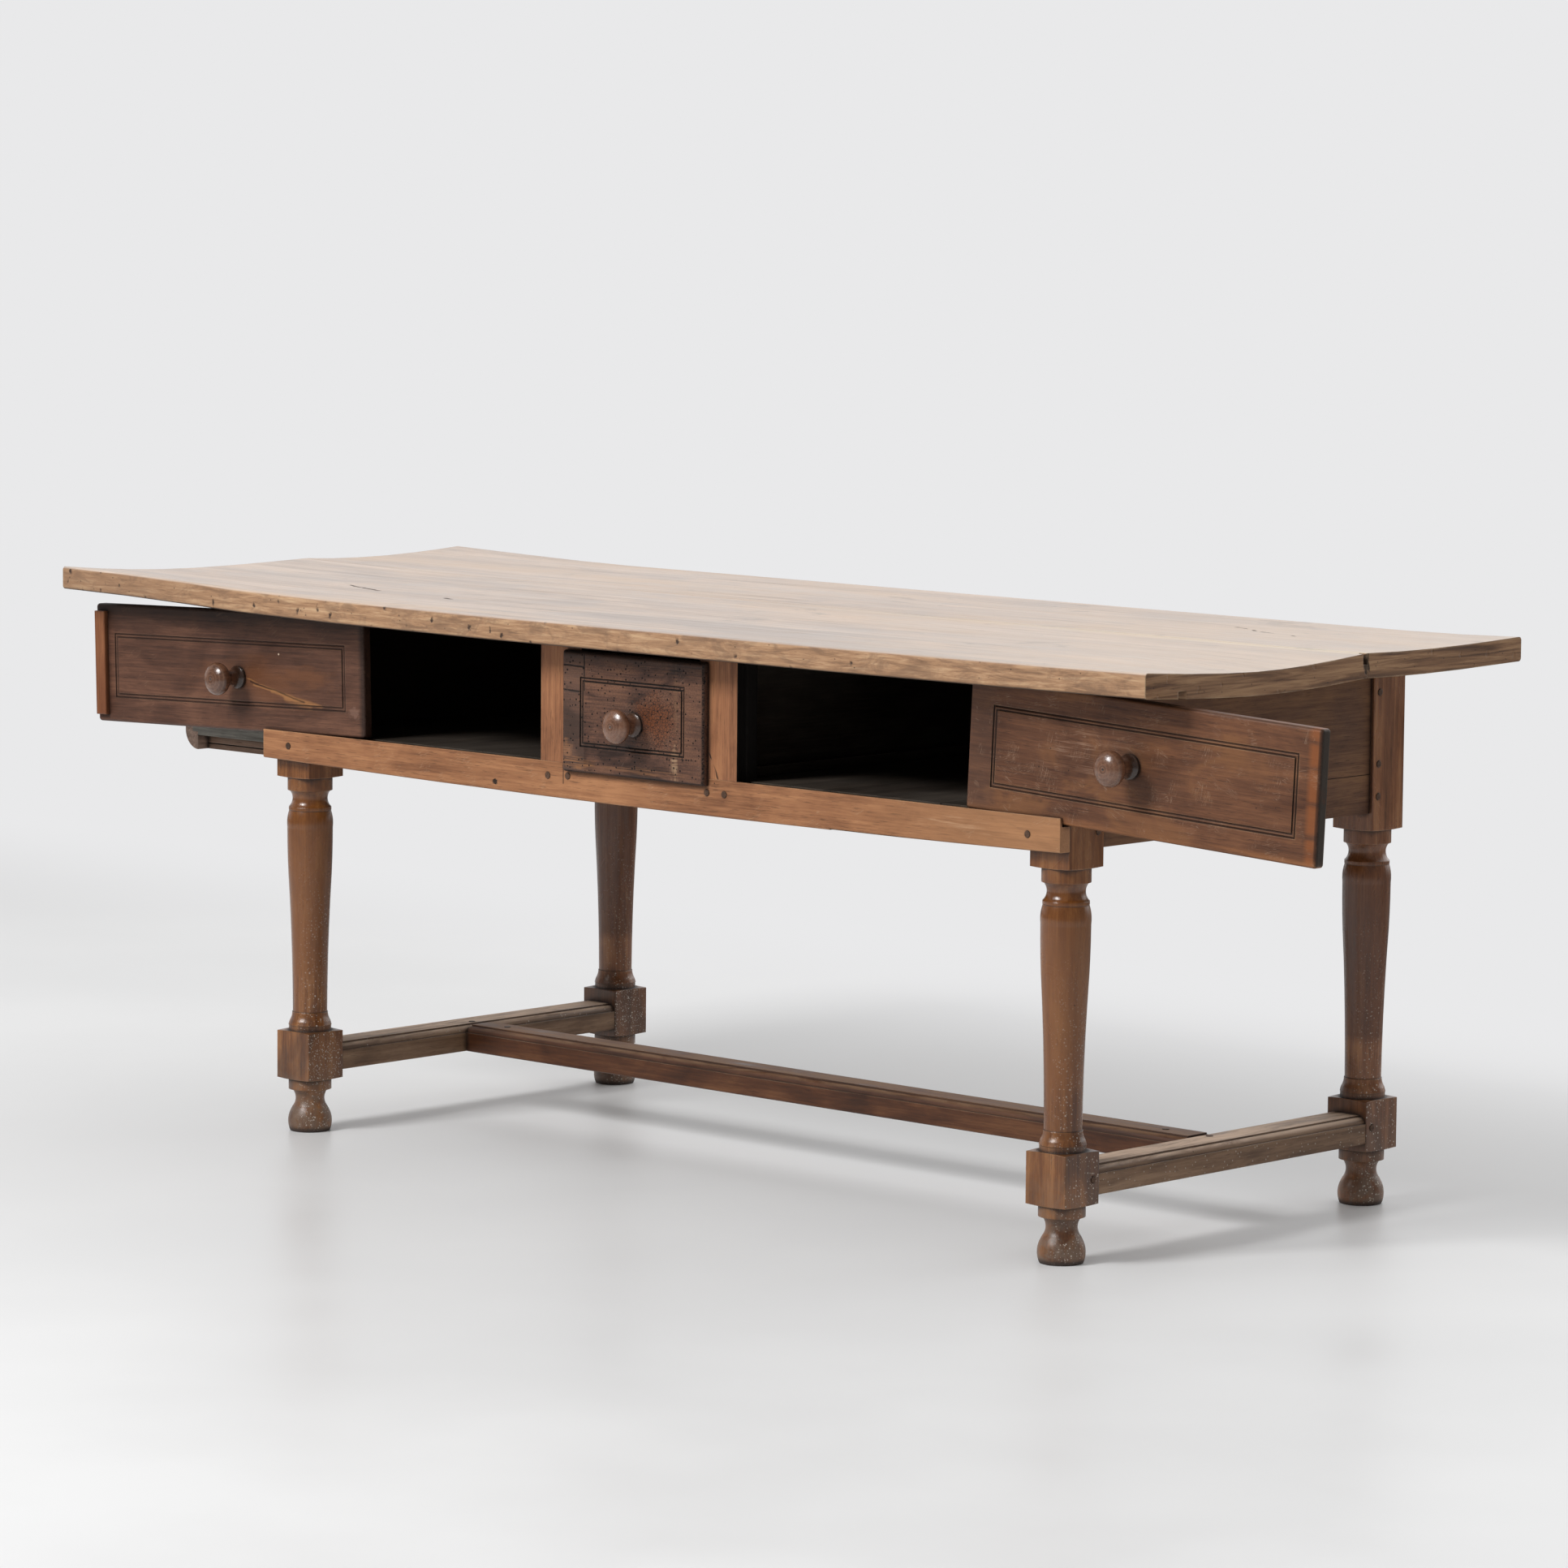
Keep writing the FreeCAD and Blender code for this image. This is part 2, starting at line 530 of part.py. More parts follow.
# Inside: ledger, partitions with foot strips, drawer runners and floor boards
inside_y = (post_rear_y, back_in_y)
nodes["back_ledger"] = box((-leg_in_x, leg_in_x), (ledger_y, back_in_y),
                           (floor_under - LEDGER_HIGH, floor_under))
board_wide = (apron_in_x - FLOOR_SIDE_GAP - partition_out) / FLOOR_BOARDS_PER_BAY
for side, sx in SIDES.items():
    nodes["partition_" + side] = box((sx * partition_in, sx * partition_out), inside_y,
                                     (floor_under, FRAME_HIGH))
    nodes["foot_strip_" + side] = box((sx * partition_out, sx * (partition_out + FOOT_STRIP_WIDE)),
                                      inside_y, (floor_top, floor_top + FOOT_STRIP_HIGH))
    nodes["drawer_runner_" + side] = box((sx * partition_in, sx * (partition_in - DRAWER_RUNNER_WIDE)),
                                         inside_y, (floor_under, rail_top + DRAWER_RUNNER_ABOVE_RAIL))
    for count in range(FLOOR_BOARDS_PER_BAY):
        near = partition_out + count * board_wide
        low, high = sorted((sx * near, sx * (near + board_wide - FLOOR_SEAM)))
        shares = RAGGED_SHARES[count:] + RAGGED_SHARES[:count]
        ragged = [(low + (high - low) * i / (len(shares) - 1),
                   track_rear_y + FLOOR_BEHIND_TRACK + s * FLOOR_RAGGED, floor_under)
                  for i, s in enumerate(shares)]
        ragged += [(high, back_in_y, floor_under), (low, back_in_y, floor_under)]
        board = prism(ragged, (0, 0, FLOOR_THICK))
        for other in post_boxes + list(leg_boxes.values()):
            board = board.cut(other)
        nodes["floor_board_%s_%d" % (side, count + 1)] = board

# Pull-out board with a cleat on its end and battens under it, on runners
board_top = floor_under - BOARD_UNDER_FLOOR
board_low = board_top - BOARD_THICK
cleat_low = board_top - CLEAT_HIGH
board_out_x = -leg_out_x - BOARD_PROUD - BOARD_DRAWN
cleat_in_x = board_out_x + CLEAT_WIDE
bearer_x = -partition_out - FOOT_STRIP_WIDE
board_end_x = bearer_x - BOARD_STOP_GAP - BOARD_DRAWN
guide_y = leg_in_y - SLIDE_GAP
tongue_z = (board_top + board_low) / 2
tongue = box((cleat_in_x - TONGUE_LONG, cleat_in_x), (-guide_y, guide_y),
             (tongue_z - TONGUE_THICK / 2, tongue_z + TONGUE_THICK / 2))
leaf = box((cleat_in_x, board_end_x), (-guide_y, guide_y), (board_low, board_top))
nodes["pull_board"] = leaf.fuse(tongue).removeSplitter()


def cleat_place(along, up):
    """Shares of the cleat, measured from its lower inner corner outwards."""
    return (cleat_in_x - along * CLEAT_WIDE, -guide_y, cleat_low + up * CLEAT_HIGH)


cleat_edges = [line(cleat_place(0, 0), cleat_place(CLEAT_FLAT_SHARE, 0)),
               arc(cleat_place(CLEAT_FLAT_SHARE, 0), cleat_place(*CLEAT_ROUND_SHARES[0][0]),
                   cleat_place(1, CLEAT_ROUND_SHARES[0][1][1])),
               line(cleat_place(1, CLEAT_ROUND_SHARES[0][1][1]), cleat_place(1, 1)),
               line(cleat_place(1, 1), cleat_place(0, 1)), line(cleat_place(0, 1), cleat_place(0, 0))]
nodes["pull_board_cleat"] = face_of(cleat_edges).extrude(V(0, 2 * guide_y, 0)).cut(tongue)
batten_y = leg_in_y - RUNNER_WIDE - SLIDE_GAP
runner_out_x = -leg_out_x - BOARD_PROUD + CLEAT_WIDE + BEAD_DEEP
for row, sy in ROWS.items():
    batten = box((cleat_in_x, board_end_x), (sy * batten_y, sy * (batten_y - BATTEN_WIDE)),
                 (cleat_low, board_low))
    bead = box((cleat_in_x, board_end_x), (sy * (batten_y - BEAD_DEEP), sy * (batten_y + BEAD_DEEP)),
               (cleat_low + BEAD_UP, cleat_low + BEAD_UP + BEAD_WIDE))
    nodes["pull_board_batten_" + row] = batten.cut(bead)
    nodes["board_runner_" + row] = box((runner_out_x, bearer_x), (sy * leg_in_y, sy * (leg_in_y - RUNNER_WIDE)),
                                       (board_low - SEAT_GAP - RUNNER_HIGH, board_low - SEAT_GAP))
nodes["board_bearer"] = box((bearer_x, bearer_x + BEARER_THICK), (rail_rear_y, ledger_y),
                            (floor_under - BEARER_HIGH, floor_under))

# Drawer
front_y = rail_front_y - DRAWER_FRONT_PROUD
lip_y = rail_front_y - SEAT_GAP
front_xs = (-bay_half - DRAWER_LIP_LEFT, bay_half + DRAWER_LIP_RIGHT)
front_zs = (rail_top - DRAWER_LIP_BELOW, FRAME_HIGH - DRAWER_TOP_GAP)
side_zs = (rail_top + DRAWER_RUNNER_ABOVE_RAIL + SEAT_GAP, front_zs[1] - DRAWER_SIDE_BELOW_FRONT)
side_out = bay_half - DRAWER_SIDE_GAP
side_in = side_out - DRAWER_SIDE_THICK
core_y = lip_y + DRAWER_LAP
drawer_back_y = front_y + DRAWER_DEEP
bottom_low = side_zs[0] + DRAWER_BOTTOM_UP
bottom_top = bottom_low + DRAWER_BOTTOM_THICK
knob_z = front_zs[0] + DRAWER_KNOB_UP
left, right, below, above = DRAWER_FIELD_MARGINS
panel = rounded_panel(front_xs, front_zs, front_y, lip_y - front_y, DRAWER_CORNER_ROUND,
                      DRAWER_FRONT_ROUND)
core = box((-side_in, side_in), (lip_y, core_y), side_zs)
bottom = box((-side_in - DRAWER_BOTTOM_LET_IN, side_in + DRAWER_BOTTOM_LET_IN),
             (core_y - DRAWER_BOTTOM_LET_IN, drawer_back_y), (bottom_low, bottom_top))
drawer_front = panel.fuse(core).removeSplitter()
drawer_front = drawer_front.cut(field_line((front_xs[0] + left, front_xs[1] - right),
                                           (front_zs[0] + below, front_zs[1] - above), front_y))
nodes["drawer_knob"] = knob(DRAWER_KNOB_X, front_y, knob_z, KNOB_HIGH, core_y - front_y)
hole = rod((DRAWER_KNOB_X, front_y, knob_z), (0, 1, 0), KNOB_TENON_RADIUS, core_y - front_y)
nodes["drawer_front"] = drawer_front.cut(bottom).cut(hole)
nodes["drawer_bottom"] = bottom
nodes["drawer_back"] = box((-side_in, side_in), (drawer_back_y - DRAWER_SIDE_THICK, drawer_back_y),
                           (bottom_top, side_zs[1]))
for side, sx in SIDES.items():
    nodes["drawer_side_" + side] = box((sx * side_in, sx * side_out), (lip_y, drawer_back_y),
                                       side_zs).cut(bottom)

# Doors, made level and shut, then slid out and tipped as in the photograph
DOOR_SETS = {
    "left": (post_spans["left"][0] + DOOR_INTO_POST, LEFT_TRAVEL, LEFT_TIP_DEG, LEFT_DROP,
             LEFT_KNOB_IN, LEFT_KNOB_UP, LEFT_FIELD_MARGINS),
    "right": (post_spans["right"][1] - DOOR_INTO_POST, RIGHT_TRAVEL, RIGHT_TIP_DEG, RIGHT_DROP,
              RIGHT_KNOB_IN, RIGHT_KNOB_UP, RIGHT_FIELD_MARGINS),
}
for side, (inner_x, travel, tip_deg, drop, knob_in, knob_up, margins) in DOOR_SETS.items():
    sx = SIDES[side]
    outer_x = inner_x + sx * DOOR_LENGTH
    out_margin, in_margin, below, above = margins
    knob_x = inner_x + sx * knob_in
    knob_z = door_low + knob_up
    door = rounded_panel((inner_x, outer_x), (door_low, door_high), door_front_y, DOOR_THICK,
                         DOOR_CORNER_ROUND, DOOR_EDGE_ROUND)
    door = door.cut(field_line((outer_x - sx * out_margin, inner_x + sx * in_margin),
                               (door_low + below, door_high - above), door_front_y))
    hole = rod((knob_x, door_front_y, knob_z), (0, 1, 0), KNOB_TENON_RADIUS + SHAFT_GAP, DOOR_THICK)
    tipped = {"door_" + side: door.cut(hole)}
    if side == "left":
        lath_z = (door_low + door_high - LATH_HIGH) / 2
        lath_x = outer_x - sx * DOOR_EDGE_ROUND
        lath = box((lath_x, lath_x - sx * LATH_WIDE), (door_front_y - LATH_THICK, door_front_y),
                   (lath_z, lath_z + LATH_HIGH))
        rim = [e for e in lath.Edges if e.BoundBox.YMax < door_front_y - LATH_THICK / 2]
        tipped["door_lath_left"] = lath.makeFillet(LATH_ROUND, rim)
    for name, shape in tipped.items():
        shape.rotate(V(knob_x, 0, knob_z), V(0, 1, 0), sx * tip_deg)
        nodes[name] = shape.translated(V(sx * travel, 0, -drop))
    grip = knob(knob_x, door_front_y - SEAT_GAP, knob_z, DOOR_KNOB_HIGH, DOOR_THICK + SEAT_GAP)
    nodes["door_knob_" + side] = grip.translated(V(sx * travel, 0, -drop))
    print(side, "door: knob at", [round(c, 4) for c in (knob_x + sx * travel, door_front_y, knob_z - drop)])

# Table top
top_ends = (-leg_out_x - LEFT_OVERHANG, leg_out_x + RIGHT_OVERHANG)
edge_y = rail_front_y - FRONT_OVERHANG


def station_x(station):
    """The place along the table of a station between -2 and 2."""
    if station < -1:
        return -leg_out_x + (station + 1) * LEFT_OVERHANG
    if station > 1:
        return leg_out_x + (station - 1) * RIGHT_OVERHANG
    return station * leg_out_x


def blend(x, left_value, right_value):
    """A value between those of the two ends of the top."""
    share = (x - top_ends[0]) / (top_ends[1] - top_ends[0])
    return left_value + share * (right_value - left_value)


def back_edge(x):
    return leg_out_y + blend(x, BACK_OVERHANG_LEFT, BACK_OVERHANG_RIGHT)


def seam(x):
    return edge_y + blend(x, SEAM_LEFT_SHARE, SEAM_RIGHT_SHARE) * (back_edge(x) - edge_y)


def board_section(x, ys, lifts, wear, rounds):
    """A closed section across a board at x, its two long edges rounded."""
    ya, yb = ys[0], ys[-1]
    across = [ya + rounds[0]] + list(ys[1:-1]) + [yb - rounds[1]]
    upper = [(x, y, top_z + l * TOP_WARP - w * TOP_WEAR) for y, l, w in zip(across, lifts, wear)]
    lower = [(x, y, FRAME_HIGH + l * TOP_WARP) for y, l in zip(across, lifts)]
    bow = 1 - math.cos(math.pi / 4)
    edges = [curve(upper), curve(lower)]
    for end, y_edge, r, inward in ((0, ya, rounds[0], 1), (-1, yb, rounds[1], -1)):
        turns = []
        for flat, up in ((upper[end], -1), (lower[end], 1)):
            z = flat[2]
            edges.append(arc(flat, (x, y_edge + inward * r * bow, z + up * r * bow),
                             (x, y_edge, z + up * r)))
            turns.append((x, y_edge, z + up * r))
        edges.append(line(*turns))
    return Part.Wire(Part.sortEdges(edges)[0])


front_sections = []
for station, lifts in FRONT_LIFT_SHARES:
    x = station_x(station)
    wide = seam(x) - SEAM_GAP / 2 - edge_y
    ys = [edge_y, rail_front_y] + [edge_y + s * wide for s in FRONT_LINE_SHARES] + [edge_y + wide]
    front_sections.append(board_section(x, ys, lifts, FRONT_WEAR_SHARES, (EDGE_ROUND, SEAM_ROUND)))
back_sections = []
for station, lifts in BACK_LIFT_SHARES:
    x = station_x(station)
    near = seam(x) + SEAM_GAP / 2
    wide = back_edge(x) - near
    ys = [near] + [near + s * wide for s in BACK_LINE_SHARES] + [near + wide]
    back_sections.append(board_section(x, ys, lifts, BACK_WEAR_SHARES, (SEAM_ROUND, EDGE_ROUND)))
front_board = Part.makeLoft(front_sections, True, True)
back_board = Part.makeLoft(back_sections, True, True)
curl = FRONT_LIFT_SHARES[0][1][1] * TOP_WARP * (1 + OVERRUN / LEFT_OVERHANG)
groove_outline = [(top_ends[0] - OVERRUN, FRAME_HIGH - DOOR_GROOVE_DEEP),
                  (top_ends[1] + OVERRUN, FRAME_HIGH - DOOR_GROOVE_DEEP),
                  (top_ends[1] + OVERRUN, groove_z), (-leg_out_x, groove_z),
                  (top_ends[0] - OVERRUN, groove_z + curl)]
door_groove = prism([(x, track_front_y, z) for x, z in groove_outline], (0, TRACK_WIDE, 0))
end_seam = seam(top_ends[1])
chip_outline = [(top_ends[1] - CHIP_LONG, end_seam + OVERRUN), (top_ends[1] + OVERRUN, end_seam + OVERRUN),
                (top_ends[1] + OVERRUN, end_seam - CHIP_WIDE),
                (top_ends[1] - CHIP_LONG / 2, end_seam - CHIP_WIDE)]
chip = prism([(x, y, top_z - CHIP_DEEP) for x, y in chip_outline], (0, 0, CHIP_DEEP + OVERRUN))
nodes["top_board_front"] = front_board.cut(door_groove).cut(chip)
nodes["top_board_back"] = back_board
dowels = []
for count in range(DOWEL_COUNT):
    share = DOWEL_END_SHARE + (1 - 2 * DOWEL_END_SHARE) * count / (DOWEL_COUNT - 1)
    x = top_ends[0] + share * (top_ends[1] - top_ends[0])
    dowel = rod((x, seam(x) - DOWEL_LONG / 2, FRAME_HIGH + TOP_THICK / 2), (0, 1, 0),
                DOWEL_RADIUS, DOWEL_LONG)
    for name in ("top_board_front", "top_board_back"):
        nodes[name] = nodes[name].cut(dowel)
    dowels.append(dowel)
nodes["top_dowels"] = Part.makeCompound(dowels)

# Pegs
rail_pegs, apron_pegs, stretcher_pegs = [], [], []
holder_spans = {"leg_front_left": (-leg_out_x, -leg_in_x), "leg_front_right": (leg_in_x, leg_out_x),
                "post_left": post_spans["left"], "post_right": post_spans["right"]}
for holder, across, up in RAIL_PEG_SHARES:
    x0, x1 = holder_spans[holder]
    drive_peg(rail_pegs, (x0 + across * (x1 - x0), rail_front_y, rail_low + up * RAIL_HIGH), (0, 1, 0),
              PEG_LONG, ("front_rail", holder))
peg_y = leg_in_y + PEG_FROM_SHOULDER
for row, sy in ROWS.items():
    for name, (side, z0, z1) in apron_spans.items():
        sx = SIDES[side]
        for up in APRON_PEG_SHARES[name]:
            drive_peg(apron_pegs, (sx * leg_out_x, sy * peg_y, z0 + up * (z1 - z0)), (-sx, 0, 0),
                      PEG_LONG, ("leg_%s_%s" % (row, side), name))
    for side, sx in SIDES.items():
        start = (sx * leg_out_x, sy * peg_y, stretcher_low + STRETCHER_PEG_SHARE * STRETCHER_HIGH)
        drive_peg(stretcher_pegs, start, (-sx, 0, 0), STRETCHER_PEG_LONG,
                  ("leg_%s_%s" % (row, side), "end_stretcher_" + side))
for side, sx in SIDES.items():
    for up in APRON_PEG_SHARES["back_apron"]:
        start = (sx * (leg_in_x + PEG_FROM_SHOULDER), leg_out_y, rail_low + up * (FRAME_HIGH - rail_low))
        drive_peg(apron_pegs, start, (0, -1, 0), PEG_LONG, ("leg_back_" + side, "back_apron"))
    drive_peg(stretcher_pegs, (sx * (half_x - CROSS_PEG_FROM_LEGS), 0, stretcher_top), (0, 0, -1),
              CROSS_PEG_LONG, ("end_stretcher_" + side, "long_stretcher"))
    drive_peg(stretcher_pegs, (sx * (long_half - CROSS_PEG_ALONG_BAR), 0, stretcher_top), (0, 0, -1),
              CROSS_PEG_LONG, ("long_stretcher",))
nodes["rail_pegs"] = Part.makeCompound(rail_pegs)
nodes["apron_pegs"] = Part.makeCompound(apron_pegs)
nodes["stretcher_pegs"] = Part.makeCompound(stretcher_pegs)

# Put the origin on the floor under the middle of the whole table
extent = Part.makeCompound(list(nodes.values())).optimalBoundingBox()
home = V(-(extent.XMin + extent.XMax) / 2, -(extent.YMin + extent.YMax) / 2, -extent.ZMin)
print("moved by", [round(c, 4) for c in home], "overall",
      [round(c, 3) for c in (extent.XLength, extent.YLength, extent.ZLength)])
os.makedirs("parts", exist_ok=True)
for name, shape in sorted(nodes.items()):
    shape.translated(home).exportStep("parts/%s.step" % name)
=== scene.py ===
"""The look of an old walnut table: worn finishes, small marks, the floor and the light."""

import math

import bpy
from mathutils import Matrix, Vector


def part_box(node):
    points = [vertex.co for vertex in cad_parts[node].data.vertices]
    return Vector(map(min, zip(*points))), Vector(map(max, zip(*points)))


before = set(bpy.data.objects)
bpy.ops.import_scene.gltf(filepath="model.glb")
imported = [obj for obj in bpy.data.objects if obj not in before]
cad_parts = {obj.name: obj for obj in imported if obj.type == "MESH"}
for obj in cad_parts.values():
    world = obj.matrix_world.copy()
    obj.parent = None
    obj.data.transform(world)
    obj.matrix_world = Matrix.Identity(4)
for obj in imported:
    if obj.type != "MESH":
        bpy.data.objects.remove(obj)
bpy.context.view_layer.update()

# Camera, solved from the photograph, in metres, radians and pixels
PHOTO_WIDE_PX = 1932.0
FOCAL_PX = 7638.7
SENSOR_MM = 36.0
CAMERA_AT = (5.877175, -6.35050, 1.50779)
CAMERA_YAW = 0.75275
CAMERA_PITCH = 0.11063
CAMERA_ROLL = 0.00877
CAMERA_SEES_TO = 200.0

# Floor and light, in metres and watts. The floor fades into the backdrop between two distances
# from the table's middle, and sooner behind the table, where its glow is painted light over the
# table's shadow.
FLOOR_RADIUS = 40.0
FLOOR_SIDES = 64
FLOOR_FADE = (2.4, 6.5)
FLOOR_REAR_FADE = (0.8, 1.9)
BACKDROP_HEX = "E9E9EA"
KEY_AIM = (0.0, 0.0, 0.5)
KEY_TOWARDS = (0.19, 0.79, -0.60)
KEY_AWAY = 8.0
KEY_SIZE = 2.1
KEY_WATTS = 438.0
BACK_AT = (0.5, 4.6, 3.2)
BACK_AIM = (0.2, 0.9, 0.0)
BACK_SIZE = 5.5
BACK_WATTS = 115.0
SKY_LOW = 0.29
SKY_HIGH = 0.65
# The studio is dim behind the camera, so dark fronts mirror this share of the backdrop
DIM_SHARE = 0.25

# Tips of the two doors where they hang out of their track, in radians
LEFT_TIP = math.radians(1.70)
RIGHT_TIP = math.radians(2.70)

# Edges that hands and brooms have rounded, and the reach of the grime and painted shade in corners,
# in metres
ARRIS = 0.0022
TOP_ARRIS = 0.0045
DIRT_AND_SHADE_REACH = 0.010

# The front of the rail and the posts, and the edge of the strip let in at the drawer's left end,
# in millimetres
RAIL_FRONT_MM = -344.9
STRIP_EDGE_MM = -115.5

# Where the painted shade on a leg's turned part comes in and where it is full, where it stops
# above the block, and where the wear of a leg begins and where it is full, as heights in metres
SHAFT_SHADE = (0.56, 0.40)
ABOVE_BLOCK = (0.222, 0.236)
MOPPED = (0.24, 0.14)
KICKED = (0.13, 0.02)
SPLASHED = (0.42, 0.10)

# Length and width of the walnut's own marks, in millimetres. Its pores are really a third of a
# millimetre wide, and are drawn wider so that they show.
FIBRE_MM = (90, 3.2)
CLOUD_MM = (150, 80)
PORE_MM = (22, 1.4)
FIBRE_RAISED_MM = 0.25
PORE_RAISED_MM = -0.06
NICKS_PER_METRE = (72.0, 72.0, 46.0)

MILLIMETRE = 0.001
WAX_IOR = 1.5
COAT_ROUGH = 0.12
EDGE_SAMPLES = 6

# The numbers of a Mix node's sockets, whose names are all alike
PLAIN_A, PLAIN_B, TONE_A, TONE_B, MIXED_TONE = 2, 3, 6, 7, 2
AXES = "XYZ"


def colour(code):
    """An sRGB hex colour as linear light."""
    parts = [int(code[i:i + 2], 16) / 255 for i in (0, 2, 4)]
    linear = [c / 12.92 if c <= 0.04045 else ((c + 0.055) / 1.055) ** 2.4 for c in parts]
    return (*linear, 1.0)


def add(tree, kind, inputs=None, out=0, stops=None, **settings):
    """Adds a node with its settings and links, and gives one of its outputs."""
    node = tree.nodes.new("ShaderNode" + kind)
    for name, value in settings.items():
        setattr(node, name, value)
    for socket, value in (inputs or {}).items():
        if isinstance(value, bpy.types.NodeSocket):
            tree.links.new(value, node.inputs[socket])
        else:
            node.inputs[socket].default_value = value
    if stops:
        ramp = node.color_ramp
        while len(ramp.elements) < len(stops):
            ramp.elements.new(1.0)
        for element, (at, tone) in zip(ramp.elements, stops):
            element.position = at
            element.color = colour(tone)
    return node.outputs[out] if node.outputs else None


def start(name):
    """An empty material and its node tree."""
    material = bpy.data.materials.new(name)
    material.use_nodes = True
    material.node_tree.nodes.clear()
    return material, material.node_tree


def grain(tree, place, along, long_mm, wide_mm, shift, detail=4.0, crisp=0.6, bend=0.3):
    """Marks drawn out along the fibres, about as long and as wide as stated."""
    size = [1000 / wide_mm] * 3
    size[AXES.index(along)] = 1000 / long_mm
    sized = add(tree, "VectorMath", {0: place, 1: size, 2: (shift,) * 3}, operation="MULTIPLY_ADD")
    return add(tree, "TexNoise", {"Vector": sized, "Scale": 1.0, "Detail": detail,
                                  "Roughness": crisp, "Distortion": bend})


def lay(tree, wood, pattern, low, high, share, tone, raised_mm=0.0, rough=None):
    """Lays a tone over the wood, from none where the pattern is low to its full share where it is
    high, and with it relief in millimetres and a roughness of its own."""
    amount = add(tree, "MapRange", {"Value": pattern, "From Min": low, "From Max": high,
                                    "To Max": share}, interpolation_type="SMOOTHSTEP")
    wood["tone"] = add(tree, "Mix", {"Factor": amount, TONE_A: wood["tone"], TONE_B: colour(tone)},
                       MIXED_TONE, data_type="RGBA")
    if raised_mm:
        wood["height"] = add(tree, "Math", {0: amount, 1: raised_mm, 2: wood["height"]},
                             operation="MULTIPLY_ADD")
    if rough is not None:
        wood["rough"] = add(tree, "Mix", {"Factor": amount, PLAIN_A: wood["rough"], PLAIN_B: rough})


def mark(tree, wood, inside, share, tone, raised_mm=0.0, rough=None):
    """Lays small marks over the wood, where their pattern is 1."""
    lay(tree, wood, inside, 0.0, 1.0, share, tone, raised_mm, rough)


def along_line(tree, start_mm, end_mm, wander_mm=2.0):
    """How far a point is from a line drawn on the wood by hand, in millimetres."""
    place = add(tree, "TexCoord", out="Object")
    # The noise strays a quarter to each side, so four times the wander is asked of it
    stray = add(tree, "TexNoise", {"Vector": place, "Scale": 28.0, "Detail": 2.0}, "Color")
    stray = add(tree, "VectorMath", {0: stray, 1: (0.5, 0.5, 0.5)}, operation="SUBTRACT")
    first, run = Vector(start_mm) / 1000, (Vector(end_mm) - Vector(start_mm)) / 1000
    wander = (4 * wander_mm / 1000,) * 3
    moved = add(tree, "VectorMath", {0: stray, 1: wander, 2: place}, operation="MULTIPLY_ADD")
    gone = add(tree, "VectorMath", {0: moved, 1: first}, operation="SUBTRACT")
    share = add(tree, "VectorMath", {0: gone, 1: run / run.length_squared}, "Value",
                operation="DOT_PRODUCT")
    share = add(tree, "Clamp", {0: share})
    foot = add(tree, "VectorMath", {0: run, "Scale": share}, operation="SCALE")
    apart = add(tree, "VectorMath", {0: gone, 1: foot}, operation="SUBTRACT")
    away = add(tree, "VectorMath", {0: apart}, "Value", operation="LENGTH")
    return add(tree, "Math", {0: away, 1: 1000.0}, operation="MULTIPLY")


def around(tree, centre_mm, reach_mm, ragged=0.5):
    """How far a point is from the middle of a patch, 1 at its ragged outline."""
    place = add(tree, "TexCoord", out="Object")
    gone = add(tree, "VectorMath", {0: place, 1: Vector(centre_mm) / 1000}, operation="SUBTRACT")
    sized = add(tree, "VectorMath", {0: gone, 1: [1000 / reach for reach in reach_mm]},
                operation="MULTIPLY")
    away = add(tree, "VectorMath", {0: sized}, "Value", operation="LENGTH")
    stray = add(tree, "TexNoise", {"Vector": sized, "Scale": 1.7, "Detail": 3.0})
    stray = add(tree, "Math", {0: stray, 1: 0.5}, operation="SUBTRACT")
    return add(tree, "Math", {0: stray, 1: 2 * ragged, 2: away}, operation="MULTIPLY_ADD")


def beetle_holes(tree, place, apart_mm, wide_mm, chance, shift=0.0):
    """Round flight holes scattered in the wood, about one in each cell: 1 inside a hole."""
    sized = add(tree, "VectorMath", {0: place, 1: (1000 / apart_mm,) * 3, 2: (shift,) * 3},
                operation="MULTIPLY_ADD")
    away = add(tree, "TexVoronoi", {"Vector": sized, "Scale": 1.0}, feature="F1")
    lot = add(tree, "SeparateColor", {0: away.node.outputs["Color"]})
    # A hole's edge is soft, from 0.35 to 0.55 of its width off its middle
    wide = wide_mm / apart_mm
    inside = add(tree, "MapRange", {"Value": away, "From Min": 0.55 * wide,
                                    "From Max": 0.35 * wide})
    taken = add(tree, "Math", {0: lot, 1: chance}, operation="LESS_THAN")
    return add(tree, "Math", {0: inside, 1: taken}, operation="MULTIPLY")


def scratches(tree, place, turn, long_mm, wide_mm, shift, share=0.5):
    """Short scratches that all run one way across a front: 1 on a scratch."""
    turned = add(tree, "VectorRotate", {"Vector": place, "Axis": (0, 1, 0), "Angle": turn},
                 rotation_type="AXIS_ANGLE")
    size = (1000 / long_mm, 1000 / wide_mm, 1000 / wide_mm)
    sized = add(tree, "VectorMath", {0: turned, 1: size, 2: (shift,) * 3}, operation="MULTIPLY_ADD")
    # A scratch lies wherever this noise crosses its middle value
    lines = add(tree, "TexNoise", {"Vector": sized, "Scale": 1.0, "Detail": 1.0})
    off = add(tree, "Math", {0: lines, 1: 0.5}, operation="SUBTRACT")
    off = add(tree, "Math", {0: off}, operation="ABSOLUTE")
    line = add(tree, "MapRange", {"Value": off, "From Min": 0.016, "From Max": 0.005})
    broken = add(tree, "TexNoise", {"Vector": place, "Scale": 24.0 + shift, "Detail": 2.0})
    broken = add(tree, "MapRange", {"Value": broken, "From Min": 0.72 - share / 3,
                                    "From Max": 0.76 - share / 3})
    return add(tree, "Math", {0: line, 1: broken}, operation="MULTIPLY")


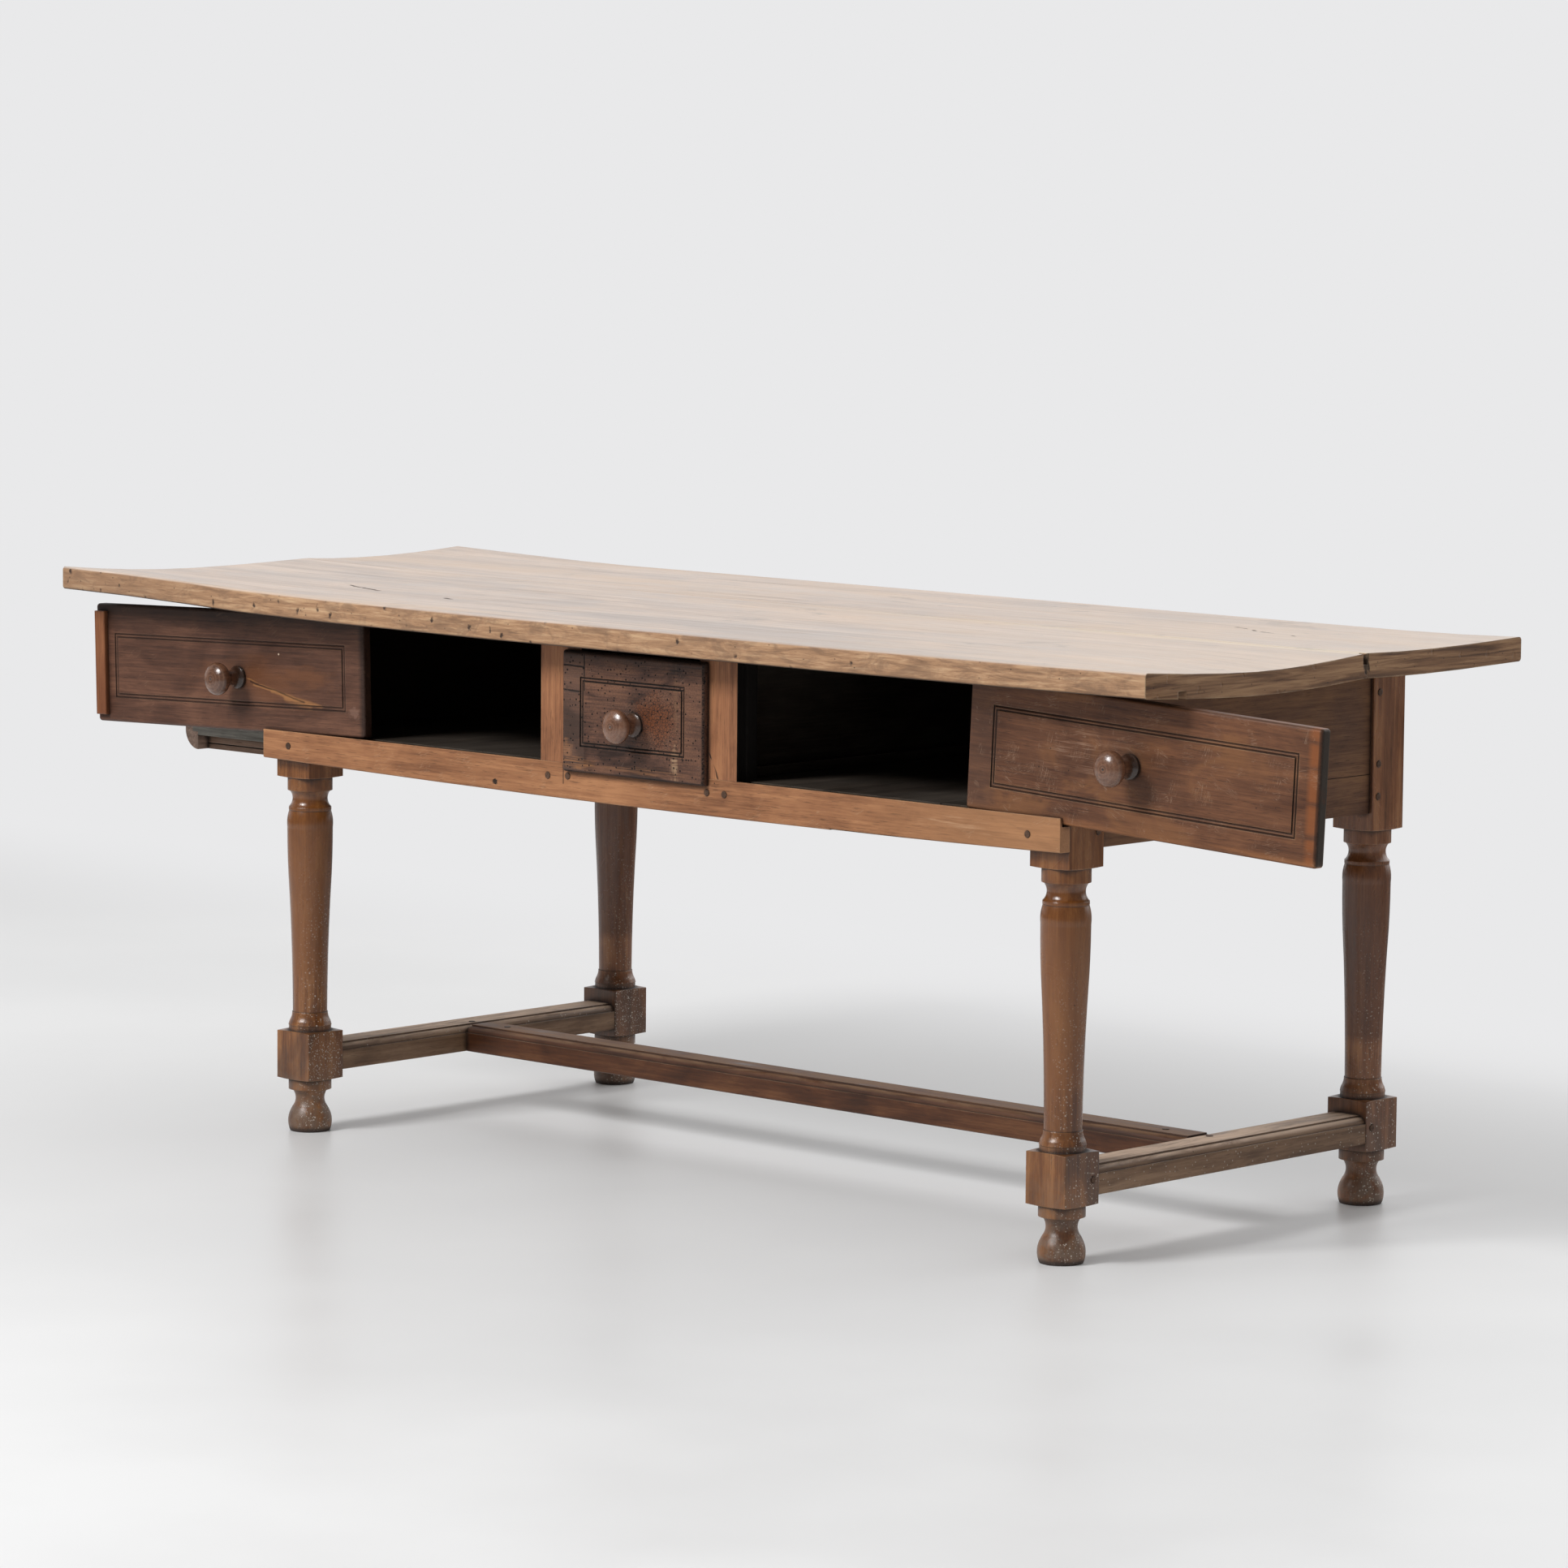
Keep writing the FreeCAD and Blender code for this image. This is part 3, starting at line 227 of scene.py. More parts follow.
def squared_up(node, tip):
    """The lowest and highest corner of a tipped door, in the coordinates that its grain runs by."""
    level = Matrix.Rotation(-tip, 3, "Y")
    corners = [level @ vertex.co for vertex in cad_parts[node].data.vertices]
    return [Vector([pick(corner[axis] for corner in corners) for axis in range(3)])
            for pick in (min, max)]


def face_ways(tree):
    """How far a face looks right, back and up, as the outputs X, Y and Z."""
    return add(tree, "SeparateXYZ", {0: add(tree, "TexCoord", out="Normal")}).node.outputs


def field_line(tree, wood, front, tone, share):
    """Dark wax and painted shade in the sunk line round a door's or drawer's field."""
    facing = face_ways(tree)["Y"]
    broken = add(tree, "MapRange", {"Value": wood["fibre"], "From Min": 0.42, "From Max": 0.58,
                                    "To Min": 0.3 * share, "To Max": share})
    forward = add(tree, "MapRange", {"Value": facing, "From Min": 0.0, "From Max": -0.5,
                                     "To Max": broken})
    deep = add(tree, "SeparateXYZ", {0: wood["place"]}).node.outputs["Y"]
    # Dark wax and painted shade: the sunk line is darkened where it lies deeper than the front
    lay(tree, wood, deep, front + 0.3 * MILLIMETRE, front + 1.1 * MILLIMETRE, forward, tone,
        rough=0.7)


def walnut(name, along, dark, middle, light, rough, shift, tip=0.0, figure_mm=(420, 34), mottle=0.3,
           fibres=0.34, pores="22130B", pore_share=0.4):
    """Planed walnut under old wax: a soft figure, short dark pores and cloudy patches, shinier in
    some patches than in others. The other woods start from it, with a figure of their own."""
    material, tree = start(name)
    place = add(tree, "TexCoord", out="Object")
    if tip:
        place = add(tree, "VectorRotate", {"Vector": place, "Axis": (0, 1, 0), "Angle": -tip},
                    rotation_type="AXIS_ANGLE")
    figure = grain(tree, place, along, *figure_mm, shift, 5.0, 0.62, 0.7)
    fibre = grain(tree, place, along, *FIBRE_MM, shift + 3, 4.0, 0.7)
    cloud = grain(tree, place, along, *CLOUD_MM, shift + 7, 4.0, 0.6, 0.8)
    blend = add(tree, "Math", {0: cloud, 1: mottle}, operation="MULTIPLY")
    blend = add(tree, "Math", {0: fibre, 1: fibres, 2: blend}, operation="MULTIPLY_ADD")
    blend = add(tree, "Math", {0: figure, 1: 1 - fibres - mottle, 2: blend},
                operation="MULTIPLY_ADD")
    tone = add(tree, "ValToRGB", {0: blend}, stops=[(0.40, dark), (0.5, middle), (0.60, light)])
    pore = grain(tree, place, along, *PORE_MM, shift + 13, 2.0, 0.5, 0.0)
    height = add(tree, "Math", {0: fibre, 1: FIBRE_RAISED_MM}, operation="MULTIPLY")
    dull = add(tree, "MapRange", {"Value": cloud, "From Min": 0.35, "From Max": 0.65,
                                  "To Min": rough[0], "To Max": rough[1]})
    wood = {"material": material, "place": place, "tone": tone, "height": height, "rough": dull,
            "figure": figure, "fibre": fibre, "cloud": cloud}
    lay(tree, wood, pore, 0.40, 0.30, pore_share, pores, PORE_RAISED_MM)
    return tree, wood


def age(tree, wood, dirt_and_shade, worn, dirt_and_shade_share=0.8, worn_share=0.7, arris=ARRIS):
    """Years of use: grime and painted shade darkening every corner and moulding, and rubbed, paler
    edges in patches.
    """
    soft = add(tree, "Bevel", {0: arris}, samples=EDGE_SAMPLES)
    plain = add(tree, "NewGeometry", out="Normal")
    # 1 on a flat face, and less towards an edge
    bend = add(tree, "VectorMath", {0: soft, 1: plain}, "Value", operation="DOT_PRODUCT")
    openness = add(tree, "AmbientOcclusion", {"Distance": DIRT_AND_SHADE_REACH}, "AO", samples=EDGE_SAMPLES)
    # Painted shade with grime: the more closed in a point is by the wood round it, the more of the
    # dark tone it gets
    lay(tree, wood, openness, 0.97, 0.55, dirt_and_shade_share, dirt_and_shade, rough=0.7)
    open_edge = add(tree, "MapRange", {"Value": openness, "From Min": 0.72, "From Max": 0.95,
                                       "To Max": worn_share})
    patchy = add(tree, "MapRange", {"Value": wood["cloud"], "From Min": 0.36, "From Max": 0.56,
                                    "To Max": open_edge})
    lay(tree, wood, bend, 0.985, 0.80, patchy, worn)
    wood["soft"] = soft


def close(tree, wood, gloss=0.35, coat=0.0):
    """Ends a finish: its colour, roughness and relief go to the surface."""
    relief = add(tree, "Bump", {"Height": wood["height"], "Strength": 1.0, "Distance": MILLIMETRE,
                                "Normal": wood["soft"]})
    surface = add(tree, "BsdfPrincipled", {"Base Color": wood["tone"], "Roughness": wood["rough"],
                                           "Normal": relief, "IOR": WAX_IOR,
                                           "Specular IOR Level": gloss, "Coat Weight": coat,
                                           "Coat Roughness": COAT_ROUGH})
    add(tree, "OutputMaterial", {"Surface": surface})
    return wood["material"]


def scrubbed_boards():
    """Walnut boards scrubbed and bleached for generations: dry and pale above, tan on the long
    edges where knives and pots have dented them, and brown and closed on the end grain."""
    tree, wood = walnut("scrubbed_walnut_boards", "X", "B29F92", "C9B6A8", "DAC6B7", (0.30, 0.46),
                        2.0, figure_mm=(900, 60), mottle=0.34, pores="8C7B6E", pore_share=0.35)
    place = wood["place"]
    across = add(tree, "SeparateXYZ", {0: place})
    facing = face_ways(tree)
    # Broad zones where the wood stayed tan or went grey
    zone = grain(tree, place, "X", 800, 170, 5.0, 3.0, 0.5, 0.6)
    lay(tree, wood, zone, 0.50, 0.66, 0.50, "D2B79E")
    lay(tree, wood, zone, 0.46, 0.34, 0.55, "AAA09B")
    # Long streaks of the figure, drawn wide enough for the low view
    streak = grain(tree, place, "X", 420, 9, 8.0, 4.0, 0.7, 0.2)
    lay(tree, wood, streak, 0.55, 0.68, 0.50, "8A7565")
    lay(tree, wood, streak, 0.45, 0.32, 0.35, "E0D3C8")
    # Warmer towards the right end
    rightward = add(tree, "MapRange", {"Value": across, "From Min": -0.2, "From Max": 1.0})
    lay(tree, wood, rightward, 0.0, 1.0, 0.35, "DCC6B0")
    # The pale line of filler and wax along the joint between the boards
    seam = add(tree, "Math", {0: across.node.outputs["Y"], 1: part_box("top_board_back")[0].y},
               operation="SUBTRACT")
    seam = add(tree, "Math", {0: seam}, operation="ABSOLUTE")
    faint = add(tree, "Math", {0: rightward, 1: 0.7}, operation="MULTIPLY")
    lay(tree, wood, seam, 0.024, 0.004, faint, "E6D2B4")
    # Short drying cracks: both ends and the width, in millimetres
    cracks = (((-805, -161, 788), (-760, -180, 788), 4.0),
              ((-757, -181, 788), (-687, -207, 788), 5.0),
              ((-530, -226, 788), (-512, -231, 788), 5.0),
              ((545, 245, 789), (600, 222, 789), 3.0),
              ((610, 215, 789), (700, 190, 789), 3.0))
    for first, last, wide in cracks:
        lay(tree, wood, along_line(tree, first, last, 5.0), wide, wide * 0.4, 0.9, "2B211B", -1.0,
            0.8)
    # Cups and pans have left soft, grey bruises
    bruise = grain(tree, place, "X", 120, 70, 31.0, 3.0, 0.55, 1.2)
    lay(tree, wood, bruise, 0.62, 0.72, 0.35, "8A807A")
    above = dict(wood)

    # The long edge: greyer at the left end, nicked more and more towards it, and pitted by beetles
    edge = grain(tree, place, "X", 70, 6, 4.0, 5.0, 0.72, 0.5)
    tans = [(0.30, "75573F"), (0.5, "A37D5C"), (0.68, "BF9D79")]
    wood["tone"] = add(tree, "ValToRGB", {0: edge}, stops=tans)
    grime = grain(tree, place, "X", 60, 24, 13.0, 5.0, 0.68, 1.2)
    lay(tree, wood, grime, 0.54, 0.36, 0.50, "6F5440")
    left_end = add(tree, "MapRange", {"Value": across, "From Min": -0.70, "From Max": -1.05,
                                      "To Max": 0.45})
    lay(tree, wood, edge, 0.2, 0.5, left_end, "83644C")
    # Nicks about 14 mm apart and drawn out upright, their outlines bent by noise
    nicks = add(tree, "VectorMath", {0: place, 1: NICKS_PER_METRE}, operation="MULTIPLY")
    stray = add(tree, "TexNoise", {"Vector": place, "Scale": 90.0, "Detail": 2.0}, "Color")
    nicks = add(tree, "VectorMath", {0: stray, 1: (0.7, 0.7, 0.7), 2: nicks},
                operation="MULTIPLY_ADD")
    nicks = add(tree, "TexVoronoi", {"Vector": nicks, "Scale": 1.0}, feature="F1")
    chance = add(tree, "SeparateColor", {0: nicks.node.outputs["Color"]})
    leftward = add(tree, "MapRange", {"Value": across, "From Min": 0.70, "From Max": -0.10,
                                      "To Min": 0.08, "To Max": 0.42})
    nicked = add(tree, "Math", {0: chance, 1: leftward}, operation="LESS_THAN")
    lay(tree, wood, nicks, 0.27, 0.10, nicked, "3A271A", -1.2, 0.8)
    pits = beetle_holes(tree, place, 9.0, 2.0, 0.35)
    mark(tree, wood, pits, 0.8, "33241A", -0.8)
    # The end grain
    ends = dict(wood)
    end = grain(tree, place, "Y", 160, 7, 3.0, 5.0, 0.65, 0.6)
    browns = [(0.36, "533926"), (0.5, "805D40"), (0.64, "9F7B58")]
    ends["tone"] = add(tree, "ValToRGB", {0: end}, stops=browns)
    mark(tree, ends, pits, 0.7, "2C1E15")
    turned = add(tree, "Math", {0: facing["X"]}, operation="ABSOLUTE")
    end_share = add(tree, "MapRange", {"Value": turned, "From Min": 0.5, "From Max": 0.85})
    side = add(tree, "Mix", {"Factor": end_share, TONE_A: wood["tone"], TONE_B: ends["tone"]},
               MIXED_TONE, data_type="RGBA")
    # The underside was never finished
    below = add(tree, "MapRange", {"Value": facing["Z"], "From Min": -0.5, "From Max": -0.85})
    side = add(tree, "Mix", {"Factor": below, TONE_A: side, TONE_B: colour("4A3A2E")}, MIXED_TONE,
               data_type="RGBA")
    upward = add(tree, "MapRange", {"Value": facing["Z"], "From Min": 0.45, "From Max": 0.8})
    wood["tone"] = add(tree, "Mix", {"Factor": upward, TONE_A: side, TONE_B: above["tone"]},
                       MIXED_TONE, data_type="RGBA")
    wood["height"] = add(tree, "Mix", {"Factor": upward, PLAIN_A: wood["height"],
                                       PLAIN_B: above["height"]})
    wood["rough"] = add(tree, "Mix", {"Factor": upward, PLAIN_A: 0.62, PLAIN_B: above["rough"]})
    # Where the joint between the boards has crumbled at the right end
    crumbled = around(tree, (926, 43, 777), (10, 7, 15), 0.9)
    lay(tree, wood, crumbled, 1.0, 0.6, 0.85, "21170F", -1.5, 0.85)
    age(tree, wood, "35261B", "D0B28E", 0.6, 0.65, TOP_ARRIS)
    return close(tree, wood, 0.45)


def rail_walnut():
    """The front rail, planed walnut rubbed to a warm mid brown, paler towards the right, with a
    black knot, an open joint below the drawer and scuffs by its right peg."""
    tree, wood = walnut("waxed_walnut_rail", "X", "744A2F", "936341", "AB7851", (0.42, 0.58), 1.0)
    place = wood["place"]
    across = add(tree, "SeparateXYZ", {0: place})
    lay(tree, wood, across, 0.30, 0.68, 0.45, "AC7F57")
    mark(tree, wood, scratches(tree, place, 0.4, 40, 2.2, 3.0, 0.4), 0.4, "B99B7C")
    knot = around(tree, (-301.6, RAIL_FRONT_MM, 551.6), (5.5, 20, 4.5))
    lay(tree, wood, knot, 1.0, 0.7, 0.95, "1C120C", -0.6, 0.8)
    scuffed = add(tree, "MapRange", {"Value": wood["fibre"], "From Min": 0.50, "From Max": 0.62,
                                     "To Max": 0.22})
    by_peg = around(tree, (560, RAIL_FRONT_MM, 566), (70, 20, 12), 1.2)
    lay(tree, wood, by_peg, 1.0, 0.3, scuffed, "C9AC8C")
    joint = along_line(tree, (-167, RAIL_FRONT_MM, 585), (-167, RAIL_FRONT_MM, 560))
    lay(tree, wood, joint, 2.0, 0.6, 0.7, "3A2619")
    mark(tree, wood, beetle_holes(tree, place, 24.0, 2.2, 0.2), 0.8, "26180F", -0.6)
    age(tree, wood, "2E1C12", "C09A72", 0.8, 0.55)
    return close(tree, wood)


def post_walnut():
    """The posts between the openings, upright walnut rubbed warm, the right one cracked at its
    foot, and painted nearly black on their sides and inside, as painted shade."""
    tree, wood = walnut("waxed_walnut_post", "Z", "6E452D", "905F3F", "A6724C", (0.42, 0.58), 5.0)
    facing = face_ways(tree)
    crack = along_line(tree, (112, RAIL_FRONT_MM, 626), (134, RAIL_FRONT_MM, 583), 3.0)
    lay(tree, wood, crack, 1.8, 0.7, 0.95, "1C120C", -0.8, 0.8)
    mark(tree, wood, beetle_holes(tree, wood["place"], 24.0, 2.2, 0.2), 0.8, "26180F", -0.6)
    age(tree, wood, "2E1E15", "B48B64", 0.75, 0.5)
    # Painted shade: the posts' sides, and every face more than a few millimetres behind their
    # front, are painted nearly black, as the compartments are dark
    side_shade = add(tree, "Math", {0: facing["X"]}, operation="ABSOLUTE")
    lay(tree, wood, side_shade, 0.2, 0.6, 1.0, "100A07", rough=0.9)
    deep = add(tree, "SeparateXYZ", {0: wood["place"]}).node.outputs["Y"]
    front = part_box("post_left")[0].y
    lay(tree, wood, deep, front + 3 * MILLIMETRE, front + 6 * MILLIMETRE, 1.0, "100A07", rough=0.9)
    return close(tree, wood)


def apron_walnut(name, along, shift):
    """The end and back aprons, walnut left dull and brown, hardly waxed, with painted shade inside.
    """
    tree, wood = walnut(name, along, "4F3425", "644531", "7A573C", (0.55, 0.72), shift)
    mark(tree, wood, scratches(tree, wood["place"], 0.2, 60, 2.4, 6.0, 0.3), 0.3, "8C7260")
    age(tree, wood, "2A1D16", "86694F", 0.8, 0.5)
    # Painted shade: the faces towards the drawers are painted almost black, as the inside is dark
    level = add(tree, "VectorMath", {0: wood["place"], 1: (1.0, 1.0, 0.0)}, operation="MULTIPLY")
    inward = add(tree, "VectorMath", {0: level, 1: add(tree, "TexCoord", out="Normal")}, "Value",
                 operation="DOT_PRODUCT")
    lay(tree, wood, inward, -0.15, -0.25, 0.95, "140E0A", rough=0.9)
    return close(tree, wood, 0.25)


def turned_leg(name, dark, middle, light, shaft_shade, shift):
    """The turned legs, walnut polished on the lathe and by hands, darkened above the blocks as
    painted shade, with blocks gone dull from the mop, dusty, scuffed feet and limewash splashed up
    the sides that faced the wall."""
    tree, wood = walnut(name, "Z", dark, middle, light, (0.17, 0.32), shift, figure_mm=(340, 15),
                        fibres=0.28)
    place = wood["place"]
    up = add(tree, "SeparateXYZ", {0: place}).node.outputs["Z"]
    facing = face_ways(tree)
    mark(tree, wood, scratches(tree, place, 1.2, 50, 2.0, 9.0, 0.3), 0.35, "A6876A")
    # Painted shade: the turned part is darkened downwards from just below the apron to the lower
    # block, strongly on the rear legs, which stand in the table's shade
    turned = add(tree, "MapRange", {"Value": up, "From Min": ABOVE_BLOCK[0],
                                    "From Max": ABOVE_BLOCK[1], "To Max": 0.6})
    lay(tree, wood, up, *SHAFT_SHADE, turned, shaft_shade)
    mopped = add(tree, "MapRange", {"Value": up, "From Min": MOPPED[0], "From Max": MOPPED[1],
                                    "To Max": 0.42})
    lay(tree, wood, wood["cloud"], 0.62, 0.42, mopped, "33241A", rough=0.5)
    kicked = add(tree, "MapRange", {"Value": up, "From Min": KICKED[0], "From Max": KICKED[1],
                                    "To Max": 0.8})
    scuff = grain(tree, place, "X", 30, 22, 2.0, 5.0, 0.7, 0.8)
    lay(tree, wood, scuff, 0.36, 0.62, kicked, "6E5B4C", rough=0.55)
    low = add(tree, "MapRange", {"Value": up, "From Min": SPLASHED[0], "From Max": SPLASHED[1]})
    wall = add(tree, "MapRange", {"Value": facing["X"], "From Min": 0.0, "From Max": 0.8,
                                  "To Max": low})
    wall = add(tree, "MapRange", {"Value": scuff, "From Min": 0.36, "From Max": 0.52,
                                  "To Max": wall})
    # Limewash drops are scattered as beetle holes are, but stand a tenth of a millimetre proud
    mark(tree, wood, beetle_holes(tree, place, 5.0, 2.4, 0.6, 4.0), wall, "BDB1A4", 0.1, 0.8)
    mark(tree, wood, beetle_holes(tree, place, 3.0, 1.6, 0.5, 7.0), wall, "B3A79A", 0.1, 0.8)
    mark(tree, wood, beetle_holes(tree, place, 22.0, 2.2, 0.25, 1.0), 0.85, "1E130C", -0.6)
    age(tree, wood, "190D07", "A67C50", 0.9, 0.5)
    return close(tree, wood, 0.6)


def stretcher_walnut(name, along, dark, middle, light, top, shift, splashed=0.0):
    """The stretchers, walnut worn by shoes: dry and paler on top from wear and painted sheen,
    grimy on the sides, and splashed with limewash where they faced the wall."""
    tree, wood = walnut(name, along, dark, middle, light, (0.36, 0.56), shift, fibres=0.22,
                        figure_mm=(260, 22))
    place = wood["place"]
    facing = face_ways(tree)
    scuff = grain(tree, place, along, 120, 20, shift + 2, 5.0, 0.7, 0.9)
    # Foot wear and painted sheen: the upward faces are paler, in a scuffed pattern
    trodden_and_sheen = add(tree, "MapRange", {"Value": facing["Z"], "From Min": 0.5, "From Max": 0.9})
    lay(tree, wood, scuff, 0.30, 0.60, trodden_and_sheen, top, rough=0.7)
    if splashed:
        wall = add(tree, "MapRange", {"Value": facing["X"], "From Min": 0.3, "From Max": 0.8,
                                      "To Max": splashed})
        mark(tree, wood, beetle_holes(tree, place, 7.0, 2.4, 0.5, 4.0), wall, "A99D90", 0.1, 0.8)
    mark(tree, wood, beetle_holes(tree, place, 26.0, 2.2, 0.25, 1.0), 0.85, "1E130C", -0.6)
    age(tree, wood, "261911", "8E7058", 0.8, 0.6)
    return close(tree, wood, 0.35)


def left_door_walnut():
    """The left door, walnut stained dark and waxed, darker along its inner edge and painted with
    shade along its top under the tabletop's overhang, with a flash of sapwood that fans out below
    the knob."""
    tree, wood = walnut("stained_walnut_left_door", "X", "3F281E", "56382A", "6C4937", (0.40, 0.55),
                        21.0, -LEFT_TIP, mottle=0.4, pores="170D08", pore_share=0.35)
    place = wood["place"]
    low, high = squared_up("door_left", -LEFT_TIP)
    front = low.y * 1000
    for spot, reach in (((-800, front, 655), (160, 30, 45)), ((-690, front, 668), (70, 30, 22))):
        lay(tree, wood, around(tree, spot, reach, 0.9), 1.0, 0.2, 0.6, "6E452B")
    # The sapwood, in strands that widen away from the knob, and a dark check above them
    fan = (((-808, front, 651), (-720, front, 637.5), 2.2),
           ((-770, front, 644.5), (-664, front, 628.5), 4.5),
           ((-738, front, 637.5), (-688, front, 629), 9.0),
           ((-825, front, 660), (-720, front, 636), 1.6))
    for first, last, wide in fan:
        split = add(tree, "MapRange", {"Value": wood["fibre"], "From Min": 0.34, "From Max": 0.50,
                                       "To Max": 0.75})
        lay(tree, wood, along_line(tree, first, last, 1.2), wide, wide * 0.2, split, "98693F")
    lay(tree, wood, along_line(tree, (-815, front, 655), (-700, front, 634), 1.2), 2.0, 0.6, 0.7,
        "22130C")
    inward = add(tree, "SeparateXYZ", {0: place})
    up = inward.node.outputs["Z"]
    # Darker along the inner edge
    lay(tree, wood, inward, high.x - 12 * MILLIMETRE, high.x - 2 * MILLIMETRE, 0.7, "1A100C")
    # Painted shade: the top of the door is darkened where the tabletop's overhang shades it
    lay(tree, wood, up, high.z - 36 * MILLIMETRE, high.z - 4 * MILLIMETRE, 0.75, "150D0A")
    rub = around(tree, (-594, front, 625), (13, 30, 10), 0.9)
    lay(tree, wood, rub, 1.0, 0.5, 0.35, "86685A")
    paint_fleck = around(tree, (-755, front, 699), (1.8, 30, 1.8), 0.2)
    lay(tree, wood, paint_fleck, 1.0, 0.6, 0.9, "C9B29A")
    mark(tree, wood, scratches(tree, place, 0.5, 36, 2.0, 5.0, 0.35), 0.35, "866650")
    field_line(tree, wood, low.y, "4A3830", 0.6)
    age(tree, wood, "120A07", "87674F", 0.5, 0.6)
    return close(tree, wood, 0.3)


def right_door_walnut():
    """The right door, the same walnut left redder and drier, scratched beside its knob and
    rubbed to bare wood along its outer stile and lower edge."""
    tree, wood = walnut("stained_walnut_right_door", "X", "492C1D", "623E29", "794F34",
                        (0.38, 0.54), 25.0, RIGHT_TIP, mottle=0.36, pores="1A0E08")
    place = wood["place"]
    low, high = squared_up("door_right", RIGHT_TIP)
    front = low.y * 1000
    outward = add(tree, "SeparateXYZ", {0: place})
    up = outward.node.outputs["Z"]
    facing = face_ways(tree)
    lay(tree, wood, wood["cloud"], 0.52, 0.64, 0.5, "7C5230")
    lay(tree, wood, outward, low.x + 60 * MILLIMETRE, low.x + 30 * MILLIMETRE, 0.35, "523C31")
    # Rubbed band on the outer stile, dark again at the very edge, and the rubbed lower edge
    band = add(tree, "MapRange", {"Value": outward, "From Min": high.x - 22 * MILLIMETRE,
                                  "From Max": high.x - 14 * MILLIMETRE, "To Max": 0.8})
    lay(tree, wood, wood["figure"], 0.36, 0.50, band, "854C26")
    lay(tree, wood, outward, high.x - 6 * MILLIMETRE, high.x - 3 * MILLIMETRE, 0.7, "1C110B")
    lower = add(tree, "MapRange", {"Value": up, "From Min": low.z + 12 * MILLIMETRE,
                                   "From Max": low.z + 3 * MILLIMETRE, "To Max": 0.7})
    lay(tree, wood, wood["figure"], 0.40, 0.56, lower, "93603A")
    for turn, shift in ((0.25, 3.0), (1.35, 6.0), (-0.5, 11.0)):
        mark(tree, wood, scratches(tree, place, turn, 30, 1.6, shift, 0.36), 0.38, "A4876F", -0.05)
    scraped = around(tree, (775, front, 672), (90, 30, 34), 1.0)
    streaks = add(tree, "MapRange", {"Value": wood["fibre"], "From Min": 0.53, "From Max": 0.62,
                                     "To Max": 0.32})
    lay(tree, wood, scraped, 1.0, 0.3, streaks, "A08673")
    lay(tree, wood, around(tree, (860, front, 655), (120, 30, 50), 1.0), 1.0, 0.3, 0.35, "3F2517")
    # The end grain of the outer stile
    end = add(tree, "MapRange", {"Value": facing["X"], "From Min": 0.6, "From Max": 0.9,
                                 "To Max": 0.85})
    lay(tree, wood, wood["cloud"], 0.2, 0.4, end, "2E2A24")
    mark(tree, wood, beetle_holes(tree, place, 17.0, 1.9, 0.3, 1.0), 0.85, "170E09", -0.6)
    field_line(tree, wood, low.y, "24150D", 0.6)
    age(tree, wood, "150C08", "AD855F", 0.6, 0.65)
    return close(tree, wood, 0.3)


